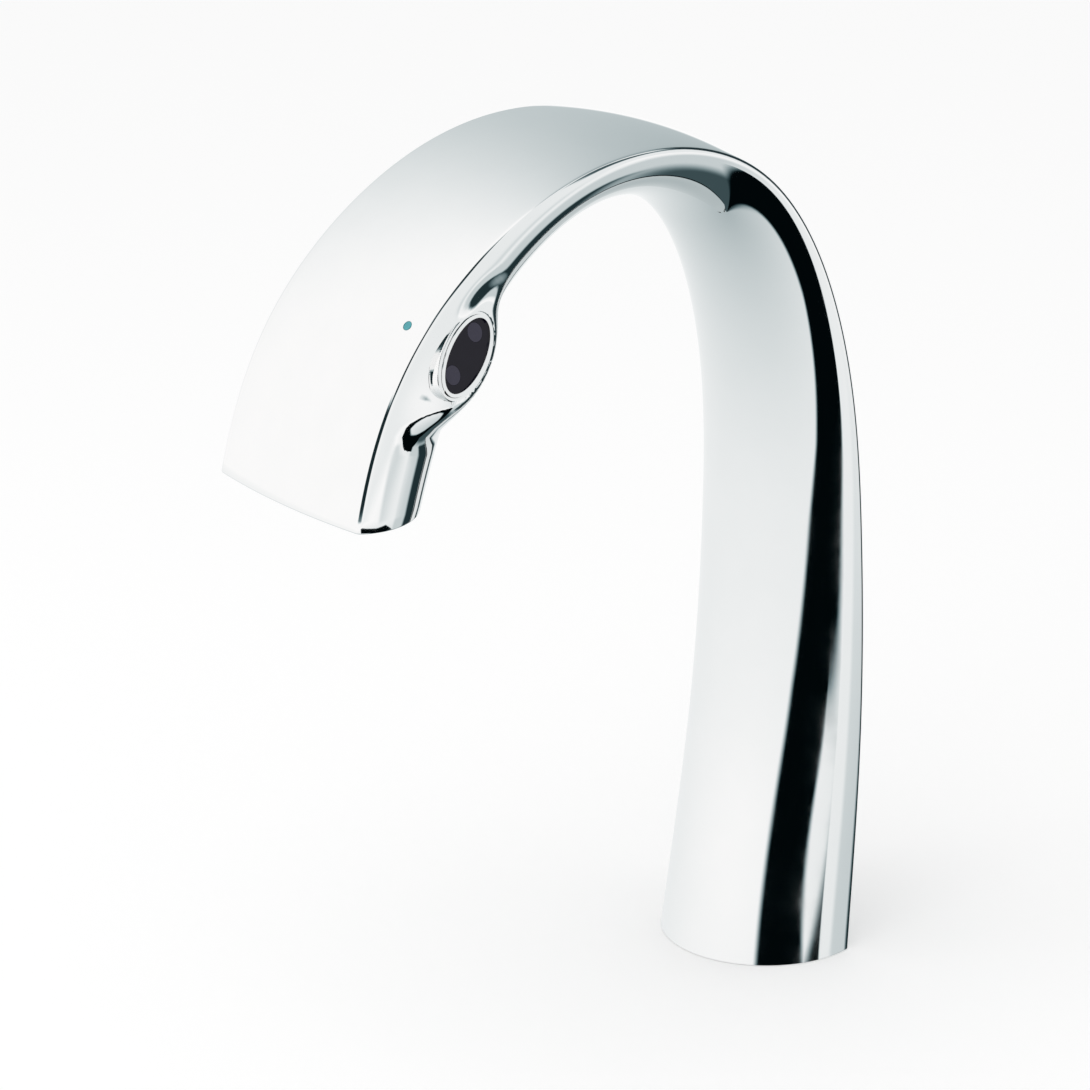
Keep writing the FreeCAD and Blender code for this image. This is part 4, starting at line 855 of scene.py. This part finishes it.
# Directions are an azimuth from +X towards +Y and an elevation, in degrees.
direction = tree.nodes.new("ShaderNodeTexCoord").outputs["Generated"]
axes = tree.nodes.new("ShaderNodeSeparateXYZ")
tree.links.new(direction, axes.inputs[0])
azimuth = sums("DEGREES", sums("ARCTAN2", axes.outputs["Y"], axes.outputs["X"]))
elevation = sums("DEGREES", sums("ARCSINE", axes.outputs["Z"]))
all_round = sums("FLOORED_MODULO", azimuth, 360)

# White walls that fall into shade behind the tap and a little to its right,
# and a white ground that darkens towards the foot.
walls = blended(edge(azimuth, -175, -60), 0.32, 1.0)
walls = blended(edge(azimuth, 0, 100), walls, 0.86)
fall = sums("MAXIMUM", sums("DIVIDE", sums("SUBTRACT", -8, elevation), 60), 0)
ground = sums("SUBTRACT", 1, sums("MULTIPLY", sums("POWER", fall, 0.7), 0.42))
seen = blended(edge(elevation, -9, -3), ground, walls)

# The grey side, the dark ground and doorway behind the tap, and four dark
# strips overhead: level, azimuths, elevations and softness of each.
for level, azimuths, elevations, soft in (
    (0.64, (131, 158), (-46, -19), 4),
    (0.72, (98, 130), (-14, -6), 4),
    (0.075, (100, 206), (-110, -46), 9),
    (0.03, (157, 210), (-43, 42), 4),
    (0.02, (-16, 33), (1, 28), 3),
    (0.02, (12, 40), (26, 54), 3),
    (0.03, (0, 64), (52, 74), 4),
    (0.10, (122, 156), (30, 66), 5),
):
    turned = azimuth if azimuths[1] < 180 else all_round
    hung = sums("MULTIPLY", within(turned, azimuths, soft), within(elevation, elevations, soft))
    seen = blended(hung, seen, level)

# The black flag stands low beside the camera.
flag_top = outline(azimuth, (40, -8.5), (60, -10.2), (96, -18), (113, -19.3), (121, -22.8))
flag_side = outline(elevation, (-11, 41), (-15, 48), (-22, 67), (-33, 82), (-60, 99))
flag_end = 132
under = edge(sums("SUBTRACT", flag_top, elevation), -0.3, 0.3)
beyond = edge(sums("SUBTRACT", azimuth, flag_side), -3, 3)
before = sums("SUBTRACT", 1, edge(azimuth, flag_end - 2, flag_end + 2))
flag = sums("MULTIPLY", sums("MULTIPLY", under, beyond), before)
seen = blended(flag, seen, 0.002)

rays = tree.nodes.new("ShaderNodeLightPath")
backdrop = sums("MAXIMUM", rays.outputs["Is Camera Ray"], rays.outputs["Is Transmission Ray"])
room_level = 1.06
seen = sums("MULTIPLY", seen, room_level)
cool = tree.nodes.new("ShaderNodeCombineColor")
for channel, power in (("Red", 1.2), ("Green", 1.0), ("Blue", 0.96)):
    tree.links.new(sums("POWER", seen, power), cool.inputs[channel])


def swapped(share, one, other):
    """Show one colour, or the other to the rays that are named."""
    step = tree.nodes.new("ShaderNodeMix")
    step.data_type = "RGBA"
    tree.links.new(share, step.inputs["Factor"])
    for socket, value in (("A", one), ("B", other)):
        if isinstance(value, tuple):
            step.inputs[socket].default_value = value
        else:
            tree.links.new(value, step.inputs[socket])
    return step.outputs["Result"]


soft_light = (0.82, 0.82, 0.82, 1)
white = (1, 1, 1, 1)
lit = swapped(rays.outputs["Is Glossy Ray"], soft_light, cool.outputs["Color"])
shown = swapped(backdrop, lit, white)
tree.links.new(shown, sky.inputs["Color"])
sky.inputs["Strength"].default_value = 1.0

# One soft lamp hangs to the left of the camera and keeps out of the chrome.
lamp_place = Vector((0.64, 0.05, 0.95))
lamp_target = Vector((0.07, 0, 0.12))
softbox = bpy.data.lights.new("softbox", "AREA")
softbox.size = 0.9
softbox.energy = 1.5
lamp = bpy.data.objects.new("softbox", softbox)
bpy.context.scene.collection.objects.link(lamp)
lamp.location = lamp_place
lamp.rotation_euler = (lamp_place - lamp_target).to_track_quat("Z", "Y").to_euler()
lamp.visible_glossy = False
lamp.visible_camera = False

# ---------------------------------------------------------------- camera
# The camera stands where the photograph was taken from, on the sensor side
# and a little above the arch, and looks at the middle of the tap.

camera_azimuth = math.radians(52.517)
camera_elevation = math.radians(19.835)
camera_distance = 1.3945
camera_target = Vector((0.071715, 0, 0.138821))
camera_lens = 163.63
back = Vector((
    math.cos(camera_azimuth) * math.cos(camera_elevation),
    math.sin(camera_azimuth) * math.cos(camera_elevation),
    math.sin(camera_elevation),
))
right = Vector((-math.sin(camera_azimuth), math.cos(camera_azimuth), 0))
up = back.cross(right)
lens = bpy.data.cameras.new("camera")
lens.sensor_width = 36
lens.lens = camera_lens
camera = bpy.data.objects.new("camera", lens)
bpy.context.scene.collection.objects.link(camera)
place = camera_target + back * camera_distance
camera.matrix_world = Matrix((
    (right.x, up.x, back.x, place.x),
    (right.y, up.y, back.y, place.y),
    (right.z, up.z, back.z, place.z),
    (0, 0, 0, 1),
))
bpy.context.scene.camera = camera
bpy.context.scene.view_settings.view_transform = "Standard"
